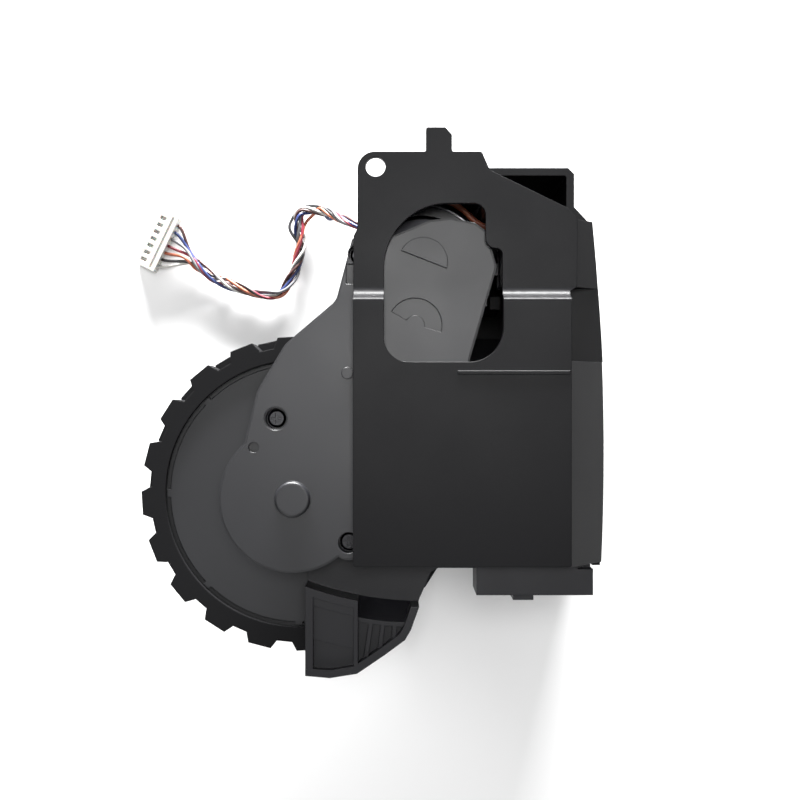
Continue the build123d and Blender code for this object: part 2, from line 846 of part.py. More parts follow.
# Gearbox base: floor, wall, and the sleeve that holds the motor and turns in the barrel
flag_r = 21.4
flag_width = 3.0
flag_low = 33.7
flag_thickness = 1.2
fin_bearing = -62.0
fin_reach = 18.4
fin_low = spring_low + spring_turns * spring_pitch - 0.4
axle_seat_r = axle_r + running_gap + bush_wall
floor_boss_r = axle_seat_r + 1.5
floor_boss_low = 36.8
keeper_circle = (sleeve_r + motor_r + motor_gap) / 2

with BuildPart() as gearbox_base:
    with BuildSketch(Plane.XY.offset(arm_low)):
        add(arm_plan.sketch)
    extrude(amount=arm_split - arm_low)
    with BuildSketch(Plane.XY.offset(arm_deck)):
        add(arm_plan.sketch)
        offset(amount=-arm_wall)
    extrude(amount=arm_split - arm_deck, mode=Mode.SUBTRACT)
    # Sleeve with its thrust flange
    with BuildSketch(Plane.XY.offset(sleeve_low)):
        Circle(sleeve_r)
    extrude(amount=arm_low - sleeve_low)
    with BuildSketch(Plane.XY.offset(barrel_top + 0.2)):
        Circle(barrel_outer - 0.1)
    extrude(amount=1.0)
    with BuildSketch(Plane.XY.offset(sleeve_low)):
        Circle(motor_r + motor_gap)
    extrude(amount=arm_low - sleeve_low, mode=Mode.SUBTRACT)
    # Closing ring over the motor where the head is cut away
    with BuildSketch(Plane.XY.offset(arm_low - 1.2)):
        Circle(sleeve_r)
        Circle(motor_r + motor_gap, mode=Mode.SUBTRACT)
    extrude(amount=1.2)
    # Flag for the drop sensor, and the fin that the spring's free leg pushes
    with BuildSketch(Plane.XY.offset(flag_low)):
        with Locations((sleeve_r - 0.8, 0)):
            Rectangle(flag_r - sleeve_r + 0.8, flag_width, align=(Align.MIN, Align.CENTER))
    extrude(amount=flag_thickness)
    with BuildSketch(Plane.XY.offset(fin_low)):
        with Locations(Location((0, 0, 0), (0, 0, 1), fin_bearing)):
            with Locations((sleeve_r - 0.8, 0)):
                Rectangle(fin_reach - sleeve_r + 0.8, 1.4, align=(Align.MIN, Align.CENTER))
    extrude(amount=arm_low - fin_low)
    # Axle boss below the floor, and the seats of the bushes and pins
    with BuildSketch(Plane((*wheel, floor_boss_low))):
        Circle(floor_boss_r)
    extrude(amount=arm_deck - floor_boss_low + 1.2)
    with BuildSketch(Plane((*wheel, floor_boss_low))):
        Circle(axle_seat_r)
    extrude(amount=arm_top, mode=Mode.SUBTRACT)
    with BuildSketch(Plane.XY.offset(arm_deck - 0.6)):
        with Locations(*arm_screws):
            Circle(arm_screw_boss_r)
    extrude(amount=arm_split - arm_deck + 0.6)
    with BuildSketch(Plane.XY.offset(arm_deck)):
        with Locations(*arm_screws):
            Circle(screw_r + thread_gap)
    extrude(amount=arm_split - arm_deck, mode=Mode.SUBTRACT)
    with BuildSketch(Plane.XY.offset(arm_low - 1.0)):
        with Locations(first, second):
            Circle(gear_pin_r + 1.4)
    extrude(amount=1.0)
    with BuildSketch(Plane.XY.offset(arm_low)):
        with Locations(first, second):
            Circle(gear_pin_r)
    extrude(amount=arm_floor, mode=Mode.SUBTRACT)
    # Motor nose and motor screw holes
    motor_screw_places = [polar(motor_screw_circle, 170.0), polar(motor_screw_circle, 350.0)]
    with BuildSketch(Plane.XY.offset(arm_low)):
        Circle(motor_nose_r + motor_gap)
        with Locations(*motor_screw_places):
            Circle(motor_screw_r + running_gap)
    extrude(amount=arm_floor, mode=Mode.SUBTRACT)
    # Pilot holes for the keeper's screws
    with BuildSketch(Plane.XY.offset(sleeve_low)):
        with PolarLocations(keeper_circle, keeper_screw_count, start_angle=30):
            Circle(keeper_screw_r + thread_gap)
    extrude(amount=keeper_pilot, mode=Mode.SUBTRACT)
save(gearbox_base.part, "gearbox_base")

# Gearbox cover: the moulded half that shows, with the axle boss and the head's features
half_moon_r = 5.6
half_moon_chord = (152.5, -15.0)
half_moon_height = 0.9
sector_centre = (-1.83, -14.4)
sector_r = 6.2
sector_depth = 0.8
nub_r = 2.2
blind_hole = beside(wheel, -8.95, 11.8)
blind_hole_r = 1.2
hole_depth = 1.2
pip = (-17.3, -25.4)
pip_r = 1.3
pip_height = 0.7
slot_corner = (-17.6, -5.0)
slot_size = (1.7, 4.6)

with BuildPart() as gearbox_cover:
    with BuildSketch(Plane.XY.offset(arm_split)):
        add(arm_plan.sketch)
    extrude(amount=arm_top - arm_split - edge_break)
    with BuildSketch(Plane.XY.offset(arm_top - edge_break)):
        add(arm_plan.sketch)
        offset(amount=-edge_break)
    extrude(amount=edge_break)
    with BuildSketch(Plane.XY.offset(arm_split)):
        add(arm_plan.sketch)
        offset(amount=-arm_wall)
    extrude(amount=roof_low - arm_split, mode=Mode.SUBTRACT)
    with BuildSketch(Plane.XY.offset(arm_split)):
        with Locations(*arm_screws):
            Circle(arm_screw_boss_r)
    extrude(amount=arm_top - arm_split - 0.6)
    with BuildSketch(Plane((*wheel, arm_top - 0.2))):
        Circle(axle_boss_r)
    extrude(amount=axle_boss_height + 0.2)
    fillet(gearbox_cover.faces().sort_by(Axis.Z)[-1].edges(), radius=0.6)
    with BuildSketch(Plane((*wheel, roof_low - 0.4))):
        Circle(axle_seat_r + 0.8)
    extrude(amount=0.6)
    with BuildSketch(Plane((*wheel, roof_low - 0.4))):
        Circle(axle_r + running_gap + 0.9)
    extrude(amount=axle_top - roof_low + 0.6, mode=Mode.SUBTRACT)
    # Screw recesses with a wider mouth
    with BuildSketch(Plane.XY.offset(arm_top)):
        with Locations(*arm_screws):
            Circle(arm_recess_r)
    extrude(amount=-arm_recess_depth, mode=Mode.SUBTRACT)
    with BuildSketch(Plane.XY.offset(arm_top)):
        with Locations(arm_screws[0]):
            Circle(arm_mouth_r)
    extrude(amount=-arm_mouth_depth, mode=Mode.SUBTRACT)
    with BuildSketch(Plane.XY.offset(arm_top)):
        with Locations(*arm_screws):
            Circle(screw_r + 0.2)
    extrude(amount=arm_split - arm_top, mode=Mode.SUBTRACT)
    # Pin seats under the roof
    with BuildSketch(Plane.XY.offset(roof_low - 0.4)):
        with Locations(first, second, idler):
            Circle(gear_pin_r + 1.2)
    extrude(amount=0.4)
    with BuildSketch(Plane.XY.offset(roof_low - 0.4)):
        with Locations(first, second, idler):
            Circle(gear_pin_r)
    extrude(amount=1.3, mode=Mode.SUBTRACT)
    # Half-moon over the pivot, and the sector recess with its nub
    with BuildSketch(Plane.XY.offset(arm_top - 0.2)):
        with BuildLine():
            arc = CenterArc(pivot, half_moon_r, half_moon_chord[1], half_moon_chord[0] - half_moon_chord[1])
            Line(arc @ 1, arc @ 0)
        make_face()
    extrude(amount=half_moon_height + 0.2)
    with BuildSketch(Plane.XY.offset(arm_top)):
        with BuildLine():
            arc = CenterArc(sector_centre, sector_r, -15.0, 165.0)
            Polyline(arc @ 1, sector_centre, arc @ 0)
        make_face()
        with Locations(sector_centre):
            Circle(nub_r, mode=Mode.SUBTRACT)
    extrude(amount=-sector_depth, mode=Mode.SUBTRACT)
    # Blind hole, slot and pip
    with BuildSketch(Plane.XY.offset(arm_top)):
        with Locations(blind_hole):
            Circle(blind_hole_r)
        with Locations(slot_corner):
            Rectangle(*slot_size, align=(Align.MIN, Align.MIN))
    extrude(amount=-hole_depth, mode=Mode.SUBTRACT)
    with BuildSketch(Plane.XY.offset(arm_top - 0.2)):
        with Locations(pip):
            Circle(pip_r)
    extrude(amount=pip_height + 0.2)
save(gearbox_cover.part, "gearbox_cover")

arm_seat = arm_top - arm_recess_depth
arm_screw_length = arm_seat - arm_deck - arm_screw_clear
gearbox_screws = screw_group(arm_screws, arm_seat, arm_screw_length, True, "gearbox_screws")

# Motor: can with its nose, rear cap, screws and encoder board
with BuildPart() as motor_can:
    with BuildSketch(Plane.XY.offset(motor_low)):
        Circle(motor_r)
    extrude(amount=arm_low - motor_low)
    fillet(motor_can.edges().group_by(Axis.Z)[-1], radius=0.8)
    with BuildSketch(Plane.XY.offset(arm_low - 0.2)):
        Circle(motor_nose_r)
    extrude(amount=1.4)
    with BuildSketch(Plane.XY.offset(motor_low)):
        Circle(motor_shaft_r + running_gap)
    extrude(amount=arm_top, mode=Mode.SUBTRACT)
    with BuildSketch(Plane.XY.offset(arm_low)):
        with Locations(*motor_screw_places):
            Circle(motor_screw_r + thread_gap)
    extrude(amount=-3.0, mode=Mode.SUBTRACT)
save(motor_can.part, "motor_can")

with BuildPart() as motor_end_cap:
    with BuildSketch(Plane.XY.offset(motor_low - motor_cap)):
        Circle(motor_r - 0.6)
        Circle(motor_shaft_r + running_gap, mode=Mode.SUBTRACT)
    extrude(amount=motor_cap)
    with BuildSketch(Plane.XY.offset(board_low + board_thickness)):
        with Locations((-7.5, 0), (7.5, 0)):
            Rectangle(1.0, 3.0)
    extrude(amount=motor_low - motor_cap - board_low - board_thickness)
save(motor_end_cap.part, "motor_end_cap")

with BuildPart() as motor_screws:
    with BuildSketch(Plane.XY.offset(arm_deck)):
        with Locations(*motor_screw_places):
            Circle(motor_screw_head_r)
    extrude(amount=motor_screw_head)
    with BuildSketch(Plane.XY.offset(arm_deck)):
        with Locations(*motor_screw_places):
            Circle(motor_screw_r)
    extrude(amount=-arm_floor - motor_screw_reach)
save(motor_screws.part, "motor_screws")

with BuildPart() as encoder_board:
    with BuildSketch(Plane.XY.offset(board_low)):
        Circle(board_r)
        Circle(motor_shaft_r + 0.8, mode=Mode.SUBTRACT)
    extrude(amount=board_thickness)
    with BuildSketch(Plane.XY.offset(board_low - 1.6)):
        with Locations((-8.0, 2.0)):
            Rectangle(3.2, 8.0)
        with Locations((6.2, 3.4)):
            Rectangle(3.0, 1.8)
    extrude(amount=1.6)
save(encoder_board.part, "encoder_board")

with BuildPart() as keeper_disc:
    with BuildSketch(Plane.XY.offset(keeper_low)):
        Circle(keeper_r)
        Circle(keeper_hole_r, mode=Mode.SUBTRACT)
    extrude(amount=sleeve_low - keeper_low)
    with BuildSketch(Plane.XY.offset(keeper_low)):
        with PolarLocations(keeper_circle, keeper_screw_count, start_angle=30):
            Circle(keeper_screw_head_r + 0.1)
    extrude(amount=keeper_screw_head, mode=Mode.SUBTRACT)
    with BuildSketch(Plane.XY.offset(keeper_low)):
        with PolarLocations(keeper_circle, keeper_screw_count, start_angle=30):
            Circle(keeper_screw_r + running_gap)
    extrude(amount=sleeve_low - keeper_low, mode=Mode.SUBTRACT)
save(keeper_disc.part, "keeper_disc")

with BuildPart() as keeper_screws:
    with BuildSketch(Plane.XY.offset(keeper_low)):
        with PolarLocations(keeper_circle, keeper_screw_count, start_angle=30):
            Circle(keeper_screw_head_r)
    extrude(amount=keeper_screw_head)
    with BuildSketch(Plane.XY.offset(keeper_low)):
        with PolarLocations(keeper_circle, keeper_screw_count, start_angle=30):
            Circle(keeper_screw_r)
    extrude(amount=keeper_screw_length)
    with BuildSketch(Plane.XY.offset(keeper_low)):
        with PolarLocations(keeper_circle, keeper_screw_count, start_angle=30):
            Rectangle(keeper_cross[0], keeper_cross[1])
            Rectangle(keeper_cross[1], keeper_cross[0])
    extrude(amount=keeper_cross[2], mode=Mode.SUBTRACT)
save(keeper_screws.part, "keeper_screws")

# Bushes that carry the axle, and the pins that carry the gears
with BuildPart() as axle_bushes:
    with BuildSketch(Plane((*wheel, floor_boss_low + 0.2))):
        Circle(axle_seat_r)
    extrude(amount=arm_deck + 1.2 - floor_boss_low - 0.2)
    with BuildSketch(Plane((*wheel, arm_deck + 1.2))):
        Circle(axle_seat_r + bush_flange)
    extrude(amount=0.6)
    with BuildSketch(Plane((*wheel, roof_low - 0.4))):
        Circle(axle_r + running_gap + 0.9)
    extrude(amount=axle_top - roof_low + 0.4)
    with BuildSketch(Plane((*wheel, floor_boss_low))):
        Circle(axle_r + running_gap)
    extrude(amount=arm_top, mode=Mode.SUBTRACT)
save(axle_bushes.part, "axle_bushes")

with BuildPart() as gear_pins:
    with BuildSketch(Plane.XY.offset(arm_low)):
        with Locations(first, second):
            Circle(gear_pin_r)
    extrude(amount=roof_low + 0.9 - arm_low)
save(gear_pins.part, "gear_pins")

with BuildPart() as idler_pin:
    with BuildSketch(Plane((*idler, upper_layer[0] - 0.1))):
        Circle(gear_pin_r)
    extrude(amount=roof_low + 0.9 - upper_layer[0] + 0.1)
save(idler_pin.part, "idler_pin")


def gear_blank(name, layers, bore, centre, recess=None):
    """Make a gear of one or two toothed layers, with a bore, and save it."""
    with BuildPart() as gear:
        for teeth, module, phase, (low, high) in layers:
            with BuildSketch(Plane.XY.offset(low)):
                with BuildLine():
                    gear_outline(teeth, module, phase, centre)
                make_face()
            extrude(amount=high - low)
        if recess:
            outer, inner, (low, high) = recess
            with BuildSketch(Plane((*centre, low))):
                Circle(outer)
                Circle(inner, mode=Mode.SUBTRACT)
            extrude(amount=(high - low - web) / 2, mode=Mode.SUBTRACT)
            with BuildSketch(Plane((*centre, high))):
                Circle(outer)
                Circle(inner, mode=Mode.SUBTRACT)
            extrude(amount=-(high - low - web) / 2, mode=Mode.SUBTRACT)
        with BuildSketch(Plane((*centre, arm_low))):
            Circle(bore)
        extrude(amount=arm_top, mode=Mode.SUBTRACT)
    save(gear.part, name)
    return gear


small_bore = gear_pin_r + running_gap / 2
layer_join = (lower_layer[0], upper_layer[0])
gear_1 = gear_blank(
    "gear_1",
    [
        (first_teeth, first_module, first_phase, upper_layer),
        (first_pinion_teeth, second_module, 0.0, layer_join),
    ],
    small_bore,
    first,
    (first_module * first_teeth / 2 - 2.0, 5.2, upper_layer),
)
gear_2 = gear_blank(
    "gear_2",
    [
        (second_teeth, second_module, second_phase, lower_layer),
        (second_pinion_teeth, last_module, 0.0, (lower_layer[0] + 1.6, upper_layer[1])),
    ],
    small_bore,
    second,
    (second_module * second_teeth / 2 - 2.2, 5.6, lower_layer),
)
idler_gear = gear_blank(
    "idler_gear",
    [(idler_teeth, last_module, idler_phase, upper_layer)],
    small_bore,
    idler,
    (last_module * idler_teeth / 2 - 1.8, 3.2, upper_layer),
)
output_gear = gear_blank(
    "output_gear",
    [(output_teeth, last_module, output_phase, upper_layer)],
    axle_r,
    wheel,
    (last_module * output_teeth / 2 - 2.2, 5.0, upper_layer),
)
motor_pinion = gear_blank(
    "motor_pinion",
    [(motor_teeth, first_module, motor_phase, upper_layer)],
    motor_shaft_r,
    pivot,
)

with BuildPart() as motor_shaft:
    with BuildSketch(Plane.XY.offset(magnet_low)):
        Circle(motor_shaft_r)
    extrude(amount=upper_layer[1] - magnet_low)
save(motor_shaft.part, "motor_shaft")

with BuildPart() as encoder_magnet:
    with BuildSketch(Plane.XY.offset(magnet_low)):
        Circle(magnet_r)
        Circle(motor_shaft_r, mode=Mode.SUBTRACT)
    extrude(amount=magnet_height)
save(encoder_magnet.part, "encoder_magnet")

# Wheel: hub, lugged tyre, axle, screw and cap
boss_low = hub_low + cap_recess
with BuildPart() as wheel_hub:
    with BuildSketch(Plane((*wheel, hub_low))):
        Circle(rim_r)
        Circle(rim_r - rim_wall, mode=Mode.SUBTRACT)
    extrude(amount=hub_face - groove_depth - hub_low)
    with BuildSketch(Plane((*wheel, hub_face - hub_plate))):
        Circle(hub_face_r)
    extrude(amount=hub_plate)
    fillet(wheel_hub.faces().sort_by(Axis.Z)[-1].edges(), radius=0.25)
    with BuildSketch(Plane((*wheel, boss_low))):
        Circle(cap_r + cap_wall)
        with PolarLocations((rim_r + cap_r) / 2 - 0.6, rib_count):
            Rectangle(rim_r - cap_r - 0.8, rib_thickness)
    extrude(amount=hub_face - boss_low)
    with BuildSketch(Plane((*wheel, hub_low))):
        Circle(cap_r + cap_wall)
    extrude(amount=boss_low - hub_low)
    with BuildSketch(Plane((*wheel, hub_low))):
        Circle(cap_r)
    extrude(amount=boss_low - hub_low + cap_ledge, mode=Mode.SUBTRACT)
    with BuildSketch(Plane((*wheel, hub_face))):
        Circle(hub_boss_r)
    extrude(amount=floor_boss_low - 0.4 - hub_face)
    with BuildSketch(Plane((*wheel, hub_low))):
        Circle(axle_r)
    extrude(amount=arm_low - hub_low, mode=Mode.SUBTRACT)
save(wheel_hub.part, "wheel_hub")

with BuildPart() as tyre:
    with BuildSketch(Plane((*wheel, tyre_low))):
        Circle(tread_r)
        Circle(rim_r, mode=Mode.SUBTRACT)
    extrude(amount=tyre_width)
    for low, height in ((tyre_low, hub_low - tyre_low), (tyre_top - lip_depth, lip_depth)):
        with BuildSketch(Plane((*wheel, low))):
            Circle(tread_r)
            Circle(lip_r, mode=Mode.SUBTRACT)
        extrude(amount=height)
    for row in (0, 1):
        row_low = tyre_low + row * (tyre_width + row_gap) / 2
        row_phase = lug_phase + (1 - row) * 180 / lug_count
        with BuildSketch(Plane((*wheel, row_low))):
            with PolarLocations(tread_r, lug_count, start_angle=row_phase):
                Polygon(
                    (-0.6, -lug_root_width / 2),
                    (0.2, -lug_root_width / 2),
                    (lug_height, -lug_tip_width / 2),
                    (lug_height, lug_tip_width / 2),
                    (0.2, lug_root_width / 2),
                    (-0.6, lug_root_width / 2),
                    align=None,
                )
        extrude(amount=(tyre_width - row_gap) / 2)
save(tyre.part, "tyre")

with BuildPart() as wheel_axle:
    with BuildSketch(Plane((*wheel, boss_low + cap_ledge))):
        Circle(axle_r)
    extrude(amount=axle_top - boss_low - cap_ledge - 0.2)
    with BuildSketch(Plane((*wheel, boss_low + cap_ledge))):
        Circle(screw_r + thread_gap)
    extrude(amount=8.0, mode=Mode.SUBTRACT)
save(wheel_axle.part, "wheel_axle")

hub_screw_head_r = 4.2
hub_screw_head = 1.3
hub_screw_length = 7.1
hub_cross = (3.4, 0.8, 0.7)
hub_screw_low = boss_low + cap_ledge - hub_screw_head
with BuildPart() as hub_screw:
    with BuildSketch(Plane((*wheel, hub_screw_low))):
        Circle(hub_screw_head_r)
    extrude(amount=hub_screw_head)
    with BuildSketch(Plane((*wheel, hub_screw_low))):
        Circle(screw_r)
    extrude(amount=hub_screw_head + hub_screw_length)
    with BuildSketch(Plane((*wheel, hub_screw_low))):
        Rectangle(hub_cross[0], hub_cross[1])
        Rectangle(hub_cross[1], hub_cross[0])
    extrude(amount=hub_cross[2], mode=Mode.SUBTRACT)
save(hub_screw.part, "hub_screw")

cap_low = hub_low + 0.2
cap_gap = 0.1
cap_skirt = 1.0
with BuildPart() as hub_cap:
    with BuildSketch(Plane((*wheel, cap_low))):
        Circle(cap_r - cap_gap)
    extrude(amount=cap_thickness)
    chamfer(hub_cap.edges().group_by(Axis.Z)[0], 0.4)
    with BuildSketch(Plane((*wheel, cap_low + cap_thickness))):
        Circle(cap_r - cap_gap)
        Circle(cap_r - cap_gap - cap_skirt, mode=Mode.SUBTRACT)
    extrude(amount=boss_low + cap_ledge - cap_low - cap_thickness)
save(hub_cap.part, "hub_cap")

# Drop sensor: a slotted optical sensor on its post, with the arm's flag in its slot at rest
sensor_x = 18.4
sensor_size = (7.4, 9.0, 9.6)
sensor_slot = (5.0, 3.0)
sensor_low = floor_thickness + sensor_post_size[2]
slot_middle = flag_low + flag_thickness / 2
with BuildPart() as drop_sensor:
    with Locations((sensor_x, 0, sensor_low)):
        Box(*sensor_size, align=(Align.MIN, Align.CENTER, Align.MIN))
    with Locations((sensor_x, 0, slot_middle)):
        Box(
            sensor_slot[0],
            sensor_size[1],
            sensor_slot[1],
            align=(Align.MIN, Align.CENTER, Align.CENTER),
            mode=Mode.SUBTRACT,
        )
    chamfer(drop_sensor.edges().group_by(Axis.Z)[-1], 0.4)
save(drop_sensor.part, "drop_sensor")

# Torsion spring round the sleeve: its lower leg rests on the base, its upper leg on the arm
lower_leg = 8.4
upper_leg = 7.3
spring_height = spring_turns * spring_pitch
with BuildPart() as torsion_spring:
    with BuildLine() as coil_path:
        coil = Helix(spring_pitch, spring_height, spring_r, center=(0, 0, spring_low))
        Line((coil @ 0) - (coil % 0) * lower_leg, coil @ 0)
        Line(coil @ 1, (coil @ 1) + (coil % 1) * upper_leg)
    spring_path = coil_path.wires()[0]
    with BuildSketch(Plane(spring_path @ 0, z_dir=spring_path % 0)):
        Circle(wire_r)
    sweep(path=spring_path)
save(torsion_spring.part, "torsion_spring")


def cord_radii(points):
    """The largest arc that each corner of a cord's route has room for."""
    radii = []
    for before, here, after in zip(points, points[1:], points[2:]):
        back = Vector(*before) - Vector(*here)
        ahead = Vector(*after) - Vector(*here)
        turn = radians(180 - back.get_angle(ahead))
        radii.append(0.45 * min(back.length, ahead.length) / tan(turn / 2))
    return radii


def cord_tube(points, radius, name):
    """Sweep a round cord along straight runs and tangent arcs, and print its facts."""
    radii = cord_radii(points)
    with BuildPart() as tube:
        with BuildLine() as route:
            FilletPolyline(*points, radius=radii)
        path = route.wires()[0]
        with BuildSketch(Plane(path @ 0, z_dir=path % 0)):
            Circle(radius)
        sweep(path=path)
    save(tube.part, name)
    print(name, "length", round(path.length, 1), "radii", [round(r, 1) for r in radii])
    print(name, "volume over section times length", tube.part.volume / (pi * radius**2 * path.length))
    return tube


# Sensor lead: held inside the housing, from the harness exit to the drop sensor
sensor_back = (sensor_x + sensor_size[0], 0.0, sensor_low + 3.0)
sensor_lead = cord_tube(
    [
        (-12.1, 14.6, 14.0),
        (-11.6, 15.6, 24.0),
        (-7.6, 16.9, 33.5),
        (1.0, 17.5, 37.2),
        (8.6, 15.4, 37.2),
        (13.8, 10.0, 37.4),
        (21.0, 8.8, 37.2),
        (26.6, 6.6, 35.2),
        (28.9, 3.4, 33.2),
        (sensor_back[0] + 2.8, 0.0, sensor_back[2]),
        sensor_back,
    ],
    0.7,
    "sensor_lead",
)

# Harness: seven thin wires in a loose bundle, lying on the surface beside the module
plug_rear = (-67.2, 9.6, 2.25)
harness_points = [
    (-15.6, 13.6, 12.0),
    (-19.8, 15.3, 9.8),
    (-23.4, 17.6, 5.4),
    (-27.4, 19.6, 2.6),
    (-31.0, 18.6, 2.1),
    (-31.4, 13.6, 2.1),
    (-31.6, 8.4, 2.0),
    (-32.9, 2.4, 2.0),
    (-35.0, -2.4, 2.0),
    (-39.2, -3.9, 2.0),
    (-45.2, -2.8, 2.0),
    (-51.6, -0.5, 2.0),
    (-57.4, 2.6, 2.0),
    (-61.98, 7.08, 2.2),
    plug_rear,
]
harness = cord_tube(harness_points, harness_r, "harness")

# Harness plug: crimp housing for seven contacts in one row
row_bearing = 64.3
plug_out = row_bearing + 90.0
plug_plane = Plane(
    (plug_rear[0], plug_rear[1], 0.0),
    x_dir=(cos(radians(row_bearing)), sin(radians(row_bearing)), 0),
    z_dir=(0, 0, 1),
)
contact_width = 0.9
with BuildPart() as harness_plug:
    with BuildSketch(plug_plane.offset(0.05)):
        with Locations((0, plug_depth / 2)):
            Rectangle(plug_length, plug_depth)
    extrude(amount=plug_height)
    fillet(harness_plug.edges().filter_by(Axis.Z), radius=0.3)
    with BuildSketch(plug_plane.offset(1.3)):
        with GridLocations(plug_pitch, 1, plug_poles, 1):
            with Locations((0, plug_depth - 2.2)):
                Rectangle(1.2, 2.3, align=(Align.CENTER, Align.MIN))
    extrude(amount=1.6, mode=Mode.SUBTRACT)
    with BuildSketch(plug_plane.offset(0.05 + plug_height)):
        with GridLocations(plug_pitch, 1, plug_poles, 1):
            with Locations((0, plug_depth - 1.9)):
                Rectangle(0.9, 1.5)
    extrude(amount=-0.8, mode=Mode.SUBTRACT)
    with BuildSketch(plug_plane.offset(0.05 + plug_height)):
        with Locations((0, 1.4)):
            Rectangle(plug_length - 1.2, 0.5)
    extrude(amount=-0.4, mode=Mode.SUBTRACT)
save(harness_plug.part, "harness_plug")

with BuildPart() as plug_contacts:
    with BuildSketch(plug_plane.offset(1.65)):
        with GridLocations(plug_pitch, 1, plug_poles, 1):
            with Locations((0, plug_depth - 2.2)):
                Rectangle(contact_width, 1.6, align=(Align.CENTER, Align.MIN))
    extrude(amount=contact_width)
save(plug_contacts.part, "plug_contacts")

print("shafts", [tuple(round(v, 2) for v in p) for p in (first, second, idler, wheel)])
print("last module", round(last_module, 4))
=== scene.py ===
import math
import random

import bmesh
import bpy
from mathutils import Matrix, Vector


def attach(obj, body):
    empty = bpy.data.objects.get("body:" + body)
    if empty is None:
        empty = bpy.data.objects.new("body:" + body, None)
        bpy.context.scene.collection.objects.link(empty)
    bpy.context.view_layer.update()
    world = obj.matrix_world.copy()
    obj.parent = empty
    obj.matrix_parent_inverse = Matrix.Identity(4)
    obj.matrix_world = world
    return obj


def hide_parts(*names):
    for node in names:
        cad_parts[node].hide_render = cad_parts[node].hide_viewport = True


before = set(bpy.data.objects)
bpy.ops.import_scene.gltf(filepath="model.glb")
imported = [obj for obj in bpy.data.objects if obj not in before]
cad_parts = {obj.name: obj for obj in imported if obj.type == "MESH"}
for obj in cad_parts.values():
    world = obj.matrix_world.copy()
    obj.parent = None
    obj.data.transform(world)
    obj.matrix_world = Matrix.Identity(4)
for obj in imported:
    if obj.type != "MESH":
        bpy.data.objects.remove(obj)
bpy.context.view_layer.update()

# Camera: straight down on the module as it lies on its back, at the photograph's distance.
# The wheel's face, the front cover and the plug are square to the view.
camera_data = bpy.data.cameras.new("camera")
camera_data.sensor_width = 36.0
camera_data.lens = 57.78
camera_data.clip_start = 0.01
camera = bpy.data.objects.new("camera", camera_data)
camera.location = (-0.00526, -0.03155, 0.345)
bpy.context.scene.collection.objects.link(camera)
bpy.context.scene.camera = camera

# Floor: one sheet of pale matt paper that the module and its harness lie on.
# It runs far past the view, so that no edge of it shows.
floor_half = 3.0
floor_drop = 0.0002
floor_mesh = bpy.data.meshes.new("studio_floor")
floor_corners = [(-floor_half, -floor_half, 0), (floor_half, -floor_half, 0)]
floor_corners += [(floor_half, floor_half, 0), (-floor_half, floor_half, 0)]
floor_mesh.from_pydata(floor_corners, [], [(0, 1, 2, 3)])
studio_floor = bpy.data.objects.new("studio_floor", floor_mesh)
studio_floor.location = (0, 0, -floor_drop)
bpy.context.scene.collection.objects.link(studio_floor)
paper = bpy.data.materials.new("studio_paper")
paper.use_nodes = True
paper_shader = paper.node_tree.nodes["Principled BSDF"]
paper_shader.inputs["Base Color"].default_value = (0.93, 0.93, 0.93, 1)
paper_shader.inputs["Roughness"].default_value = 0.9
paper_shader.inputs["Specular IOR Level"].default_value = 0.1
floor_mesh.materials.append(paper)

# Studio light: a pale even surround and four soft boxes. A long low strip past the upper
# edge draws the highlight on the cover's step, and the boxes above, to the left and near
# the lower edge fill in the rest.
world = bpy.data.worlds.new("studio_air")
world.use_nodes = True
world.node_tree.nodes["Background"].inputs["Color"].default_value = (1, 1, 1, 1)
world.node_tree.nodes["Background"].inputs["Strength"].default_value = 0.36
bpy.context.scene.world = world
bpy.context.scene.view_settings.view_transform = "Standard"


def soft_box(name, place, aim, width, height, power):
    """An area light at a place, turned to an aim point."""
    lamp_data = bpy.data.lights.new(name, "AREA")
    lamp_data.shape = "RECTANGLE"
    lamp_data.size = width
    lamp_data.size_y = height
    lamp_data.energy = power
    lamp = bpy.data.objects.new(name, lamp_data)
    lamp.location = place
    lamp.rotation_euler = (Vector(aim) - Vector(place)).to_track_quat("-Z", "Y").to_euler()
    bpy.context.scene.collection.objects.link(lamp)
    return lamp


step_middle = (0, -0.02, 0.05)
cover_window = (0.004, -0.005, 0.05)
shell_middle = (0, -0.03, 0.03)
wheel_side = (0, -0.06, 0.04)
soft_box("far_strip", (-0.02, 0.62, 0.105), step_middle, width=0.46, height=0.08, power=44.0)
soft_box("overhead_box", (0.025, 0.06, 0.75), cover_window, width=0.2, height=0.2, power=2.0)
soft_box("left_box", (-0.75, 0.25, 0.55), shell_middle, width=0.5, height=0.5, power=0.8)
soft_box("near_fill", (-0.22, -0.66, 0.46), wheel_side, width=0.5, height=0.4, power=1.8)


# Wire harness: seven thin PVC-covered wires, twisted loosely by hand into one bundle, with
# a few strays that bow out of it. It leaves the housing's left wall, lies on the table and
# ends crimped in the plug, where the wires spread to its seven poles.
harness_route = [
    (-0.0156, 0.0136, 0.0120),
    (-0.0198, 0.0153, 0.0098),
    (-0.0234, 0.0176, 0.0054),
    (-0.0274, 0.0196, 0.0026),
    (-0.0328, 0.0190, 0.0021),
    (-0.0320, 0.0136, 0.0021),
    (-0.0316, 0.0086, 0.0020),
    (-0.0334, 0.0026, 0.0020),
    (-0.0362, -0.0032, 0.0020),
    (-0.0402, -0.0038, 0.0020),
    (-0.0452, -0.0028, 0.0020),
    (-0.0516, -0.0005, 0.0020),
    (-0.0574, 0.0026, 0.0020),
    (-0.06198, 0.00708, 0.0022),
    (-0.0672, 0.0096, 0.00225),
]
route_steps = 12
wire_radius = 0.00041
wire_sides = 8
bundle_reach = 0.00098
reach_swell = 0.28
reach_swell_length = 0.0052
exit_reach = 0.55
exit_length = 0.006
bundle_flatness = 0.86
turn_length = 0.021
turn_sway = 0.9
